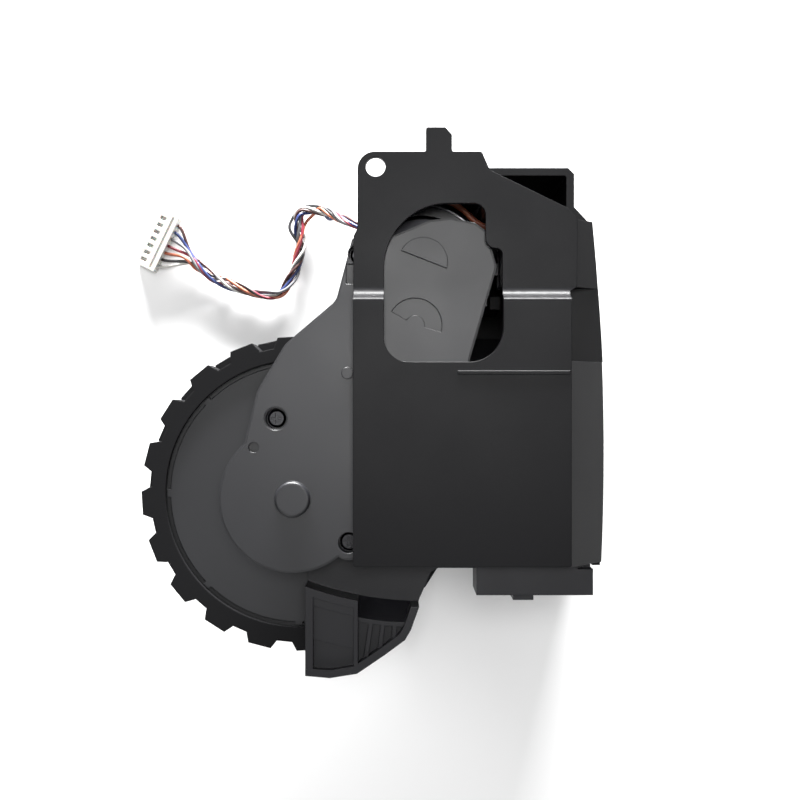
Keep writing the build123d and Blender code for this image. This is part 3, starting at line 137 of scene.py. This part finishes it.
turn_sway_length = 0.009
start_spread = 0.35
wobble_range = (0.8, 1.2)
fan_length = 0.0085
plug_row_bearing = math.radians(64.3)
plug_row = Vector((math.cos(plug_row_bearing), math.sin(plug_row_bearing), 0))
pole_pitch = 0.002
middle_pole = 3
wire_colours = {
    "black": (0.012, 0.012, 0.014),
    "red": (0.19, 0.010, 0.026),
    "blue": (0.014, 0.028, 0.125),
    "white": (0.46, 0.45, 0.43),
    "grey": (0.15, 0.15, 0.16),
    "orange": (0.40, 0.11, 0.055),
    "brown": (0.055, 0.018, 0.016),
}
colour_names = list(wire_colours)
pole_colours = ["white", "black", "orange", "red", "grey", "blue", "brown"]
# Where a wire bows out of the bundle: how far along, half its span, and which way
wire_bows = {
    "black": (0.0265, 0.0065, (-0.0031, 0.0006, 0.0008)),
    "orange": (0.0200, 0.0060, (0.0019, -0.0024, 0.0010)),
    "grey": (0.0590, 0.0045, (0.0006, 0.0017, 0.0006)),
    "blue": (0.0110, 0.0050, (-0.0010, -0.0018, -0.0004)),
}


def route_points(route, steps):
    """The points of a smooth line whose control points are the route's."""
    curve = bpy.data.curves.new("route", "CURVE")
    curve.dimensions = "3D"
    spline = curve.splines.new("NURBS")
    spline.points.add(len(route) - 1)
    for point, place in zip(spline.points, route):
        point.co = (*place, 1.0)
    spline.order_u = 3
    spline.use_endpoint_u = True
    spline.resolution_u = steps
    holder = bpy.data.objects.new("route", curve)
    bpy.context.scene.collection.objects.link(holder)
    bpy.context.view_layer.update()
    line = bpy.data.meshes.new_from_object(holder)
    points = [v.co.copy() for v in line.vertices]
    bpy.data.objects.remove(holder)
    return points


def carried_frames(points):
    """Tangent, side and up at each point, turned as little as can be along the line."""
    frames = []
    side = None
    for i, here in enumerate(points):
        ahead = points[min(i + 1, len(points) - 1)] - points[max(i - 1, 0)]
        tangent = ahead.normalized()
        if side is None:
            side = tangent.cross(Vector((0, 0, 1))).normalized()
        side = (side - tangent * side.dot(tangent)).normalized()
        frames.append((tangent, side, tangent.cross(side)))
    return frames


def add_tube(bm, points, radius, sides, material_index):
    """Add a closed round tube along points to a mesh in the making."""
    rings = []
    for here, (tangent, side, up) in zip(points, carried_frames(points)):
        ring = []
        for k in range(sides):
            angle = 2 * math.pi * k / sides
            outward = math.cos(angle) * side + math.sin(angle) * up
            ring.append(bm.verts.new(here + radius * outward))
        rings.append(ring)
    for a, b in zip(rings, rings[1:]):
        for k in range(sides):
            face = bm.faces.new((a[k], a[(k + 1) % sides], b[(k + 1) % sides], b[k]))
            face.material_index = material_index
            face.smooth = True
    for ring, flip in ((rings[0], True), (rings[-1], False)):
        cap = bm.faces.new(list(reversed(ring)) if flip else ring)
        cap.material_index = material_index


def lengths_along(points):
    """How far along the line each point lies."""
    run = [0.0]
    for a, b in zip(points, points[1:]):
        run.append(run[-1] + (b - a).length)
    return run


def new_piece(name, bm, materials):
    """Turn a mesh in the making into a shown object with its materials."""
    bmesh.ops.recalc_face_normals(bm, faces=bm.faces)
    mesh = bpy.data.meshes.new(name)
    bm.to_mesh(mesh)
    bm.free()
    for material in materials:
        mesh.materials.append(material)
    piece = bpy.data.objects.new(name, mesh)
    bpy.context.scene.collection.objects.link(piece)
    return piece


def wire_material(name, colour):
    """Glossy PVC covering, with slow changes of shade along the wire."""
    dull = [c * 0.72 for c in colour]
    bright = [min(1, c * 1.25 + 0.01) for c in colour]
    material = bpy.data.materials.new("wire_" + name)
    material.use_nodes = True
    tree = material.node_tree
    shader = tree.nodes["Principled BSDF"]
    place = tree.nodes.new("ShaderNodeTexCoord")
    noise = tree.nodes.new("ShaderNodeTexNoise")
    noise.inputs["Scale"].default_value = 420.0
    tree.links.new(place.outputs["Object"], noise.inputs["Vector"])
    blend = tree.nodes.new("ShaderNodeMix")
    blend.data_type = "RGBA"
    blend.inputs["A"].default_value = (*dull, 1)
    blend.inputs["B"].default_value = (*bright, 1)
    tree.links.new(noise.outputs["Fac"], blend.inputs["Factor"])
    tree.links.new(blend.outputs["Result"], shader.inputs["Base Color"])
    shader.inputs["Roughness"].default_value = 0.38
    return material


wire_materials = [wire_material(name, colour) for name, colour in wire_colours.items()]
centre_line = route_points(harness_route, route_steps)
run_along = lengths_along(centre_line)
harness_length = run_along[-1]
line_frames = carried_frames(centre_line)
fan_start = max(i for i, along in enumerate(run_along) if along < harness_length - fan_length)
draw = random.Random(7)
turn_rate = 2 * math.pi / turn_length
wires_bm = bmesh.new()
fan_bm = bmesh.new()
for number, colour_name in enumerate(pole_colours):
    colour_index = colour_names.index(colour_name)
    pole = number - middle_pole
    start_angle = 2 * math.pi * number / len(pole_colours) + draw.uniform(-start_spread, start_spread)
    wobble = [draw.uniform(*wobble_range) for _ in range(3)]
    phases = [draw.uniform(0, 2 * math.pi) for _ in range(3)]
    bow = wire_bows.get(colour_name)
    strand = []
    for here, along, (tangent, side, up) in zip(centre_line, run_along, line_frames):
        sway = turn_sway * math.sin(along / (turn_sway_length * wobble[0]) + phases[0])
        twist = start_angle + turn_rate * along + sway
        swell = reach_swell * math.sin(along / (reach_swell_length * wobble[1]) + phases[1])
        looseness = min(1.0, along / exit_length)
        reach = bundle_reach * (1 + swell) * (exit_reach + (1 - exit_reach) * looseness)
        spot = here + reach * (math.cos(twist) * side + math.sin(twist) * up * bundle_flatness)
        spread = max(0.0, 1 - (harness_length - along) / fan_length)
        spread = spread * spread * (3 - 2 * spread)
        spot = spot.lerp(here + plug_row * pole * pole_pitch, spread)
        if bow and abs(along - bow[0]) < bow[1]:
            spot += Vector(bow[2]) * math.cos(math.pi / 2 * (along - bow[0]) / bow[1]) ** 2
        strand.append(spot)
    # The three middle wires run on to their poles. The outer ones' spread ends are a piece
    # of their own, which leaves the bundle even all along.
    if abs(pole) <= 1:
        add_tube(wires_bm, strand, wire_radius, wire_sides, colour_index)
    else:
        add_tube(wires_bm, strand[: fan_start + 1], wire_radius, wire_sides, colour_index)
        add_tube(fan_bm, strand[fan_start:], wire_radius, wire_sides, colour_index)
harness_wires = new_piece("harness_wires", wires_bm, wire_materials)
harness_fan = new_piece("harness_fan", fan_bm, wire_materials)
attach(harness_wires, "housing")
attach(harness_fan, "housing")
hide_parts("harness")

# Front cover: one ABS moulding in two levels, nearly black, with a fine spark-eroded grain
# and a satin sheen that catches the light on its step. Screwed to the base from the back.
cover_black = (0.0040, 0.0040, 0.0048)
shell_rub = (0.02, 0.02, 0.022)


def group_nodes(name, inputs, outputs):
    """Start a shader node group with named inputs and outputs."""
    group = bpy.data.node_groups.new(name, "ShaderNodeTree")
    for label, kind, value in inputs:
        socket = group.interface.new_socket(label, in_out="INPUT", socket_type=kind)
        socket.default_value = value
    for label, kind in outputs:
        group.interface.new_socket(label, in_out="OUTPUT", socket_type=kind)
    return group, group.nodes.new("NodeGroupInput"), group.nodes.new("NodeGroupOutput")


# The surface that the tool leaves: its fine grain, slow changes of shade where the plastic
# flowed, and edges rubbed lighter by handling
moulded_group, g_in, g_out = group_nodes(
    "moulded_surface",
    [
        ("Colour", "NodeSocketColor", (0.03, 0.03, 0.03, 1)),
        ("Worn Colour", "NodeSocketColor", (0.12, 0.12, 0.12, 1)),
        ("Roughness", "NodeSocketFloat", 0.45),
        ("Grain Scale", "NodeSocketFloat", 3200.0),
        ("Grain Depth", "NodeSocketFloat", 0.12),
        ("Edge Radius", "NodeSocketFloat", 0.00025),
        ("Wear", "NodeSocketFloat", 0.6),
    ],
    [("Colour", "NodeSocketColor"), ("Roughness", "NodeSocketFloat"), ("Normal", "NodeSocketVector")],
)
nodes, links = moulded_group.nodes, moulded_group.links
g_place = nodes.new("ShaderNodeTexCoord")
g_flow = nodes.new("ShaderNodeTexNoise")
g_flow.inputs["Scale"].default_value = 55.0
g_flow.inputs["Detail"].default_value = 4.0
links.new(g_place.outputs["Object"], g_flow.inputs["Vector"])
g_grain = nodes.new("ShaderNodeTexNoise")
g_grain.inputs["Detail"].default_value = 2.0
links.new(g_place.outputs["Object"], g_grain.inputs["Vector"])
links.new(g_in.outputs["Grain Scale"], g_grain.inputs["Scale"])
g_edge = nodes.new("ShaderNodeBevel")
g_edge.samples = 4
links.new(g_in.outputs["Edge Radius"], g_edge.inputs["Radius"])
g_true = nodes.new("ShaderNodeNewGeometry")
g_dot = nodes.new("ShaderNodeVectorMath")
g_dot.operation = "DOT_PRODUCT"
links.new(g_edge.outputs["Normal"], g_dot.inputs[0])
links.new(g_true.outputs["Normal"], g_dot.inputs[1])
g_mask = nodes.new("ShaderNodeMapRange")
g_mask.inputs["From Min"].default_value = 0.995
g_mask.inputs["From Max"].default_value = 0.86
links.new(g_dot.outputs["Value"], g_mask.inputs["Value"])
g_rub = nodes.new("ShaderNodeTexNoise")
g_rub.inputs["Scale"].default_value = 380.0
g_rub.inputs["Detail"].default_value = 3.0
links.new(g_place.outputs["Object"], g_rub.inputs["Vector"])
g_rubbed = nodes.new("ShaderNodeMath")
g_rubbed.operation = "MULTIPLY"
links.new(g_mask.outputs["Result"], g_rubbed.inputs[0])
links.new(g_rub.outputs["Fac"], g_rubbed.inputs[1])
g_worn = nodes.new("ShaderNodeMath")
g_worn.operation = "MULTIPLY"
links.new(g_rubbed.outputs["Value"], g_worn.inputs[0])
links.new(g_in.outputs["Wear"], g_worn.inputs[1])
g_shade = nodes.new("ShaderNodeMapRange")
g_shade.inputs["To Min"].default_value = 0.84
g_shade.inputs["To Max"].default_value = 1.16
links.new(g_flow.outputs["Fac"], g_shade.inputs["Value"])
g_tint = nodes.new("ShaderNodeVectorMath")
g_tint.operation = "SCALE"
links.new(g_in.outputs["Colour"], g_tint.inputs[0])
links.new(g_shade.outputs["Result"], g_tint.inputs["Scale"])
g_mix = nodes.new("ShaderNodeMix")
g_mix.data_type = "RGBA"
links.new(g_worn.outputs["Value"], g_mix.inputs["Factor"])
links.new(g_tint.outputs["Vector"], g_mix.inputs["A"])
links.new(g_in.outputs["Worn Colour"], g_mix.inputs["B"])
links.new(g_mix.outputs["Result"], g_out.inputs["Colour"])
g_gloss = nodes.new("ShaderNodeMapRange")
g_gloss.inputs["To Min"].default_value = -0.07
g_gloss.inputs["To Max"].default_value = 0.07
links.new(g_flow.outputs["Fac"], g_gloss.inputs["Value"])
g_sum = nodes.new("ShaderNodeMath")
links.new(g_gloss.outputs["Result"], g_sum.inputs[0])
links.new(g_in.outputs["Roughness"], g_sum.inputs[1])
links.new(g_sum.outputs["Value"], g_out.inputs["Roughness"])
g_bump = nodes.new("ShaderNodeBump")
g_bump.inputs["Distance"].default_value = 0.00004
links.new(g_in.outputs["Grain Depth"], g_bump.inputs["Strength"])
links.new(g_grain.outputs["Fac"], g_bump.inputs["Height"])
links.new(g_edge.outputs["Normal"], g_bump.inputs["Normal"])
links.new(g_bump.outputs["Normal"], g_out.inputs["Normal"])


def moulded(name, colour, worn, roughness, grain=0.12, edge=0.00025, wear=0.6, metal=0.0):
    """A material whose colour, gloss and normal come from the moulded surface group."""
    material = bpy.data.materials.new(name)
    material.use_nodes = True
    tree = material.node_tree
    shader = tree.nodes["Principled BSDF"]
    surface = tree.nodes.new("ShaderNodeGroup")
    surface.node_tree = moulded_group
    surface.inputs["Colour"].default_value = (*colour, 1)
    surface.inputs["Worn Colour"].default_value = (*worn, 1)
    surface.inputs["Roughness"].default_value = roughness
    surface.inputs["Grain Depth"].default_value = grain
    surface.inputs["Edge Radius"].default_value = edge
    surface.inputs["Wear"].default_value = wear
    tree.links.new(surface.outputs["Colour"], shader.inputs["Base Color"])
    tree.links.new(surface.outputs["Roughness"], shader.inputs["Roughness"])
    tree.links.new(surface.outputs["Normal"], shader.inputs["Normal"])
    shader.inputs["Metallic"].default_value = metal
    return material


def finish_node(node, material, specular=0.5):
    """Give a CAD node its material in every slot."""
    material.node_tree.nodes["Principled BSDF"].inputs["Specular IOR Level"].default_value = specular
    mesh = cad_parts[node].data
    mesh.materials.clear()
    mesh.materials.append(material)


cover_plastic = moulded("cover_plastic", cover_black, shell_rub, 0.40, 0.10)
finish_node("front_cover", cover_plastic, specular=0.12)

# Base shell: the deep ABS tub behind the cover, of the same plastic and a little more matt.
# It lies on its flat back, carries the arm's barrel and takes the screws from the back.
base_black = (0.0045, 0.0045, 0.0053)
base_plastic = moulded("base_plastic", base_black, shell_rub, 0.48, 0.14)
finish_node("base_shell", base_plastic, specular=0.14)

# End bracket: the ribbed foot beside the wheel and the corner block, moulded in one of a
# slightly paler ABS, and screwed to the lower end of the housing.
bracket_black = (0.010, 0.010, 0.0125)
bracket_rub = (0.03, 0.03, 0.035)
bracket_plastic = moulded("bracket_plastic", bracket_black, bracket_rub, 0.42, 0.12)
finish_node("end_bracket", bracket_plastic, specular=0.3)

# Gearbox halves: the swinging arm, moulded of glass-filled nylon in mid grey.
# The cover is screwed down on the base, with the gear train between them.
arm_grey = (0.0120, 0.0122, 0.0145)
arm_rub = (0.05, 0.05, 0.055)
arm_plastic = moulded("arm_plastic", arm_grey, arm_rub, 0.38, 0.16)
for node in ("gearbox_cover", "gearbox_base"):
    finish_node(node, arm_plastic, specular=0.42)

# Wheel hub and hub cap: dark grey ABS with a fine satin grain. The hub is pressed on the
# axle and held by one screw, and the cap snaps over it.
hub_grey = (0.0110, 0.0112, 0.0130)
hub_rub = (0.04, 0.04, 0.045)
hub_plastic = moulded("hub_plastic", hub_grey, hub_rub, 0.46, 0.16)
for node in ("wheel_hub", "hub_cap"):
    finish_node(node, hub_plastic, specular=0.38)

# Tyre: one rubber moulding with two rows of lugs, stretched over the hub's rim.
# It is matt, with a coarse grain and a light coat of dust.
tyre_black = (0.0065, 0.0065, 0.0072)
tyre_rub = (0.02, 0.02, 0.02)
tyre_rubber = moulded("tyre_rubber", tyre_black, tyre_rub, 0.70, 0.35, 0.0004)
finish_node("tyre", tyre_rubber, specular=0.1)

# Screws: cross-head pan screws, rolled from steel and black zinc plated, with the edges of
# the cross rubbed bright. The near-black colour is partly painted shade for the deep recesses
# they sit in, and the bright rubbed cross edges are partly a painted glint. One tree makes the
# head with its driver cross, the shank and the rolled thread, and stands one on every seat.
screw_black_and_shade = (0.035, 0.035, 0.037)
screw_rub_and_glint = (0.35, 0.35, 0.35)
fine_edge = 0.0001
screw_steel_shade_and_glint = moulded("screw_steel_dark_and_shaded", screw_black_and_shade, screw_rub_and_glint, 0.30, 0.05, fine_edge, wear=0.8, metal=1.0)
head_sides = 32
shank_sides = 16
thread_steps = 20
screw_sizes = {
    "Head Radius": 0.0021,
    "Head Height": 0.0017,
    "Crown Share": 0.35,
    "Crown Radius": 0.0016,
    "Cross Length": 0.0025,
    "Cross Width": 0.0006,
    "Cross Depth": 0.0009,
    "Shank Radius": 0.00098,
    "Thread Pitch": 0.0007,
    "Thread Depth": 0.00014,
}
screw_tree = bpy.data.node_groups.new("pan_screws", "GeometryNodeTree")
screw_tree.interface.new_socket("Geometry", in_out="INPUT", socket_type="NodeSocketGeometry")
screw_tree.interface.new_socket("Geometry", in_out="OUTPUT", socket_type="NodeSocketGeometry")
for label in (*screw_sizes, "Shank Length", "Turn"):
    screw_tree.interface.new_socket(label, in_out="INPUT", socket_type="NodeSocketFloat")
screw_tree.interface.new_socket("Material", in_out="INPUT", socket_type="NodeSocketMaterial")
s_in = screw_tree.nodes.new("NodeGroupInput")
s_out = screw_tree.nodes.new("NodeGroupOutput")


def tree_node(kind, **wires):
    """Add a node to the screw tree, with its inputs linked or set by name."""
    node = screw_tree.nodes.new(kind)
    for label, source in wires.items():
        socket = node.inputs[label.replace("_", " ")]
        for one in source if isinstance(source, list) else [source]:
            if isinstance(one, bpy.types.NodeSocket):
                screw_tree.links.new(one, socket)
            else:
                socket.default_value = one
    return node


def tree_sum(operation, first, second):
    """A size worked out from two others inside the screw tree."""
    node = screw_tree.nodes.new("ShaderNodeMath")
    node.operation = operation
    for socket, source in zip(node.inputs, (first, second)):
        if isinstance(source, bpy.types.NodeSocket):
            screw_tree.links.new(source, socket)
        else:
            socket.default_value = source
    return node.outputs["Value"]


def raised(mesh, height):
    """Move a mesh along the screw's axis inside the screw tree."""
    place = tree_node("ShaderNodeCombineXYZ", Z=height)
    return tree_node("GeometryNodeTransform", Geometry=mesh, Translation=place.outputs[0]).outputs[0]


size = s_in.outputs
crown_height = tree_sum("MULTIPLY", size["Head Height"], size["Crown Share"])
rim_depth = tree_sum("SUBTRACT", size["Head Height"], crown_height)
rim = tree_node(
    "GeometryNodeMeshCylinder",
    Vertices=head_sides,
    Radius=size["Head Radius"],
    Depth=rim_depth,
)
rim_middle = tree_sum("MULTIPLY", tree_sum("ADD", crown_height, size["Head Height"]), -0.5)
crown = tree_node(
    "GeometryNodeMeshCone",
    Vertices=head_sides,
    Radius_Top=size["Crown Radius"],
    Radius_Bottom=size["Head Radius"],
    Depth=crown_height,
)
crown_low = tree_sum("MULTIPLY", crown_height, -1.0)
shank_middle = tree_sum("SUBTRACT", tree_sum("MULTIPLY", size["Shank Length"], -0.5), size["Head Height"])
shank = tree_node(
    "GeometryNodeMeshCylinder",
    Vertices=shank_sides,
    Radius=size["Shank Radius"],
    Depth=size["Shank Length"],
)
cross_height = tree_sum("MULTIPLY", size["Cross Depth"], 2.0)
bars = []
for long_way, short_way in (("Cross Length", "Cross Width"), ("Cross Width", "Cross Length")):
    bar_size = tree_node("ShaderNodeCombineXYZ", X=size[long_way], Y=size[short_way], Z=cross_height)
    bars.append(tree_node("GeometryNodeMeshCube", Size=bar_size.outputs[0]).outputs["Mesh"])
head = screw_tree.nodes.new("GeometryNodeMeshBoolean")
head.operation = "UNION"
head.solver = "EXACT"
for part_mesh in (raised(rim.outputs["Mesh"], rim_middle), raised(crown.outputs["Mesh"], crown_low)):
    screw_tree.links.new(part_mesh, head.inputs["Mesh 2"])
driven = screw_tree.nodes.new("GeometryNodeMeshBoolean")
driven.operation = "DIFFERENCE"
driven.solver = "EXACT"
screw_tree.links.new(head.outputs["Mesh"], driven.inputs["Mesh 1"])
for bar in bars:
    screw_tree.links.new(bar, driven.inputs["Mesh 2"])
thread_turns = tree_sum("DIVIDE", size["Shank Length"], size["Thread Pitch"])
thread_line = tree_node(
    "GeometryNodeCurveSpiral",
    Resolution=thread_steps,
    Rotations=thread_turns,
    Start_Radius=size["Shank Radius"],
    End_Radius=size["Shank Radius"],
    Height=size["Shank Length"],
)
thread_form = tree_node("GeometryNodeCurvePrimitiveCircle", Resolution=3, Radius=size["Thread Depth"])
thread = tree_node(
    "GeometryNodeCurveToMesh",
    Curve=thread_line.outputs["Curve"],
    Profile_Curve=thread_form.outputs["Curve"],
    Fill_Caps=True,
)
thread_low = tree_sum("MULTIPLY", tree_sum("ADD", size["Shank Length"], size["Head Height"]), -1.0)
whole = tree_node(
    "GeometryNodeJoinGeometry",
    Geometry=[
        driven.outputs["Mesh"],
        raised(shank.outputs["Mesh"], shank_middle),
        raised(thread.outputs["Mesh"], thread_low),
    ],
)
turned = tree_node("ShaderNodeCombineXYZ", X=size["Turn"])
stood = tree_node(
    "GeometryNodeInstanceOnPoints",
    Points=size["Geometry"],
    Instance=whole.outputs["Geometry"],
    Rotation=turned.outputs[0],
)
real = tree_node("GeometryNodeRealizeInstances", Geometry=stood.outputs["Instances"])
dressed = tree_node("GeometryNodeSetMaterial", Geometry=real.outputs["Geometry"], Material=size["Material"])
screw_tree.links.new(dressed.outputs["Geometry"], s_out.inputs["Geometry"])


def screw_seats(node, heads_up):
    """Where each screw of a CAD group has the middle of its head's outer face."""
    one_screw = 4 * screw_sizes["Head Radius"]
    groups = []
    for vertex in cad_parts[node].data.vertices:
        for group in groups:
            if (vertex.co.xy - group[0].xy).length < one_screw:
                group.append(vertex.co)
                break
        else:
            groups.append([vertex.co])
    seats = []
    for group in groups:
        low = [min(co[i] for co in group) for i in range(3)]
        high = [max(co[i] for co in group) for i in range(3)]
        height = high[2] if heads_up else low[2]
        seats.append(((low[0] + high[0]) / 2, (low[1] + high[1]) / 2, height))
    return seats, high[2] - low[2]


# Each group of screws, the body it rides on, and whether its heads face the front
screw_groups = [
    ("gearbox_screws", "arm", True),
    ("housing_screws", "housing", False),
    ("bracket_screws", "housing", False),
]
for node, body, heads_up in screw_groups:
    seats, reach = screw_seats(node, heads_up)
    seat_mesh = bpy.data.meshes.new(node + "_seats")
    seat_mesh.from_pydata(seats, [], [])
    holder = bpy.data.objects.new(node + "_seats", seat_mesh)
    bpy.context.scene.collection.objects.link(holder)
    maker = holder.modifiers.new("pan_screws", "NODES")
    maker.node_group = screw_tree
    sizes = dict(screw_sizes)
    sizes["Shank Length"] = reach - screw_sizes["Head Height"]
    sizes["Turn"] = 0.0 if heads_up else math.pi
    sizes["Material"] = screw_steel_shade_and_glint
    for socket in screw_tree.interface.items_tree:
        if socket.in_out == "INPUT" and socket.name in sizes:
            maker[socket.identifier] = sizes[socket.name]
    graph = bpy.context.evaluated_depsgraph_get()
    screw_mesh = bpy.data.meshes.new_from_object(holder.evaluated_get(graph))
    bpy.data.objects.remove(holder)
    screws = bpy.data.objects.new("threaded_" + node, screw_mesh)
    bpy.context.scene.collection.objects.link(screws)
    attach(screws, body)
    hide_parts(node)

# Small bright steel: the wheel's axle, the gears' pins and the motor's shaft, turned and
# polished, and the small screws of the motor, the keeper and the hub.
polish_rub = (0.8, 0.8, 0.8)
steel_grey = (0.56, 0.56, 0.57)
bright_steel = moulded("bright_steel", steel_grey, polish_rub, 0.24, 0.05, fine_edge, wear=0.4, metal=1.0)
for node in ("wheel_axle", "gear_pins", "idler_pin", "motor_shaft"):
    finish_node(node, bright_steel)
for node in ("motor_screws", "hub_screw", "keeper_screws"):
    finish_node(node, bright_steel)

# Torsion spring: coiled from drawn spring wire and oiled. It sits round the arm's sleeve,
# above the barrel, with its lower leg on the housing and its upper leg on the arm.
spring_grey = (0.36, 0.36, 0.38)
spring_rub = (0.6, 0.6, 0.6)
spring_wire = moulded("spring_wire", spring_grey, spring_rub, 0.3, 0.04, fine_edge, wear=0.4, metal=1.0)
finish_node("torsion_spring", spring_wire)

# Gears: moulded acetal, off-white and slightly waxy. They turn on steel pins between the
# gearbox halves, and the output gear sits on the wheel's axle.
acetal_white = (0.72, 0.71, 0.66)
acetal_rub = (0.85, 0.85, 0.82)
acetal = moulded("acetal_white", acetal_white, acetal_rub, 0.38, 0.04, fine_edge, wear=0.3)
for node in ("gear_1", "gear_2", "idler_gear", "output_gear"):
    finish_node(node, acetal)

# Motor pinion and axle bushes: sintered bronze, full of oil. The pinion is pressed on the
# motor's shaft, and the bushes are pressed into the gearbox halves.
bronze_brown = (0.42, 0.27, 0.11)
bronze_rub = (0.7, 0.5, 0.28)
bronze = moulded("sintered_bronze", bronze_brown, bronze_rub, 0.42, 0.2, fine_edge, wear=0.5, metal=1.0)
for node in ("motor_pinion", "axle_bushes"):
    finish_node(node, bronze)

# Motor can: deep-drawn steel. Its near-black colour is painted shade, standing in for the dark
# gap under the window's edge where bare steel would catch the light. It stands in the sleeve
# of the gearbox base and is held by two small screws.
can_shade_black = (0.030, 0.030, 0.033)
can_rub = (0.20, 0.20, 0.20)
shade_darkened_can = moulded("shade_darkened_can", can_shade_black, can_rub, 0.42, 0.06, 0.0002, wear=0.5, metal=1.0)
finish_node("motor_can", shade_darkened_can)

# Motor end cap, drop sensor and encoder magnet: black moulded resin, and ferrite bonded
# in the same black. The cap closes the can, and the sensor sits on its post in the shell.
resin_black = (0.018, 0.018, 0.02)
resin_rub = (0.08, 0.08, 0.08)
black_resin = moulded("black_resin", resin_black, resin_rub, 0.4, 0.1)
for node in ("motor_end_cap", "drop_sensor", "encoder_magnet"):
    finish_node(node, black_resin)

# Encoder board: glass-epoxy sheet under green solder mask, on the motor's end cap.
# It reads the magnet that turns with the shaft.
mask_green = (0.012, 0.11, 0.045)
board_rub = (0.3, 0.35, 0.3)
solder_mask = moulded("board_mask", mask_green, board_rub, 0.3, 0.05, fine_edge)
finish_node("encoder_board", solder_mask)

# Keeper disc: a round ABS plate under the arm's sleeve, which keeps the arm in the barrel.
# It is held by small screws from the back.
keeper_black = (0.03, 0.03, 0.033)
keeper_rub = (0.1, 0.1, 0.1)
keeper_plastic = moulded("keeper_plastic", keeper_black, keeper_rub, 0.45, 0.14)
finish_node("keeper_disc", keeper_plastic)

# Sensor lead: one thin wire in orange PVC, from the drop sensor to the harness.
# It is held inside the housing, and shows only through the window.
finish_node("sensor_lead", wire_materials[colour_names.index("orange")])

# Plug: moulded nylon, white and slightly translucent, pushed over the seven crimped ends.
# It lies on the table at the end of the harness.
nylon_white = (0.46, 0.45, 0.42)
nylon_rub = (0.60, 0.60, 0.57)
nylon = moulded("plug_nylon", nylon_white, nylon_rub, 0.36, 0.05, 0.0002, wear=0.3)
nylon_shader = nylon.node_tree.nodes["Principled BSDF"]
nylon_shader.inputs["Subsurface Weight"].default_value = 0.25
nylon_shader.inputs["Subsurface Scale"].default_value = 0.001
finish_node("harness_plug", nylon)

# Plug contacts: seven strips of brass, tin plated, stamped and crimped on the wires.
# Each is latched in its own pole of the plug.
tin_grey = (0.6, 0.59, 0.56)
tin_plate = moulded("tin_plate", tin_grey, polish_rub, 0.3, 0.05, fine_edge, wear=0.4, metal=1.0)
finish_node("plug_contacts", tin_plate)
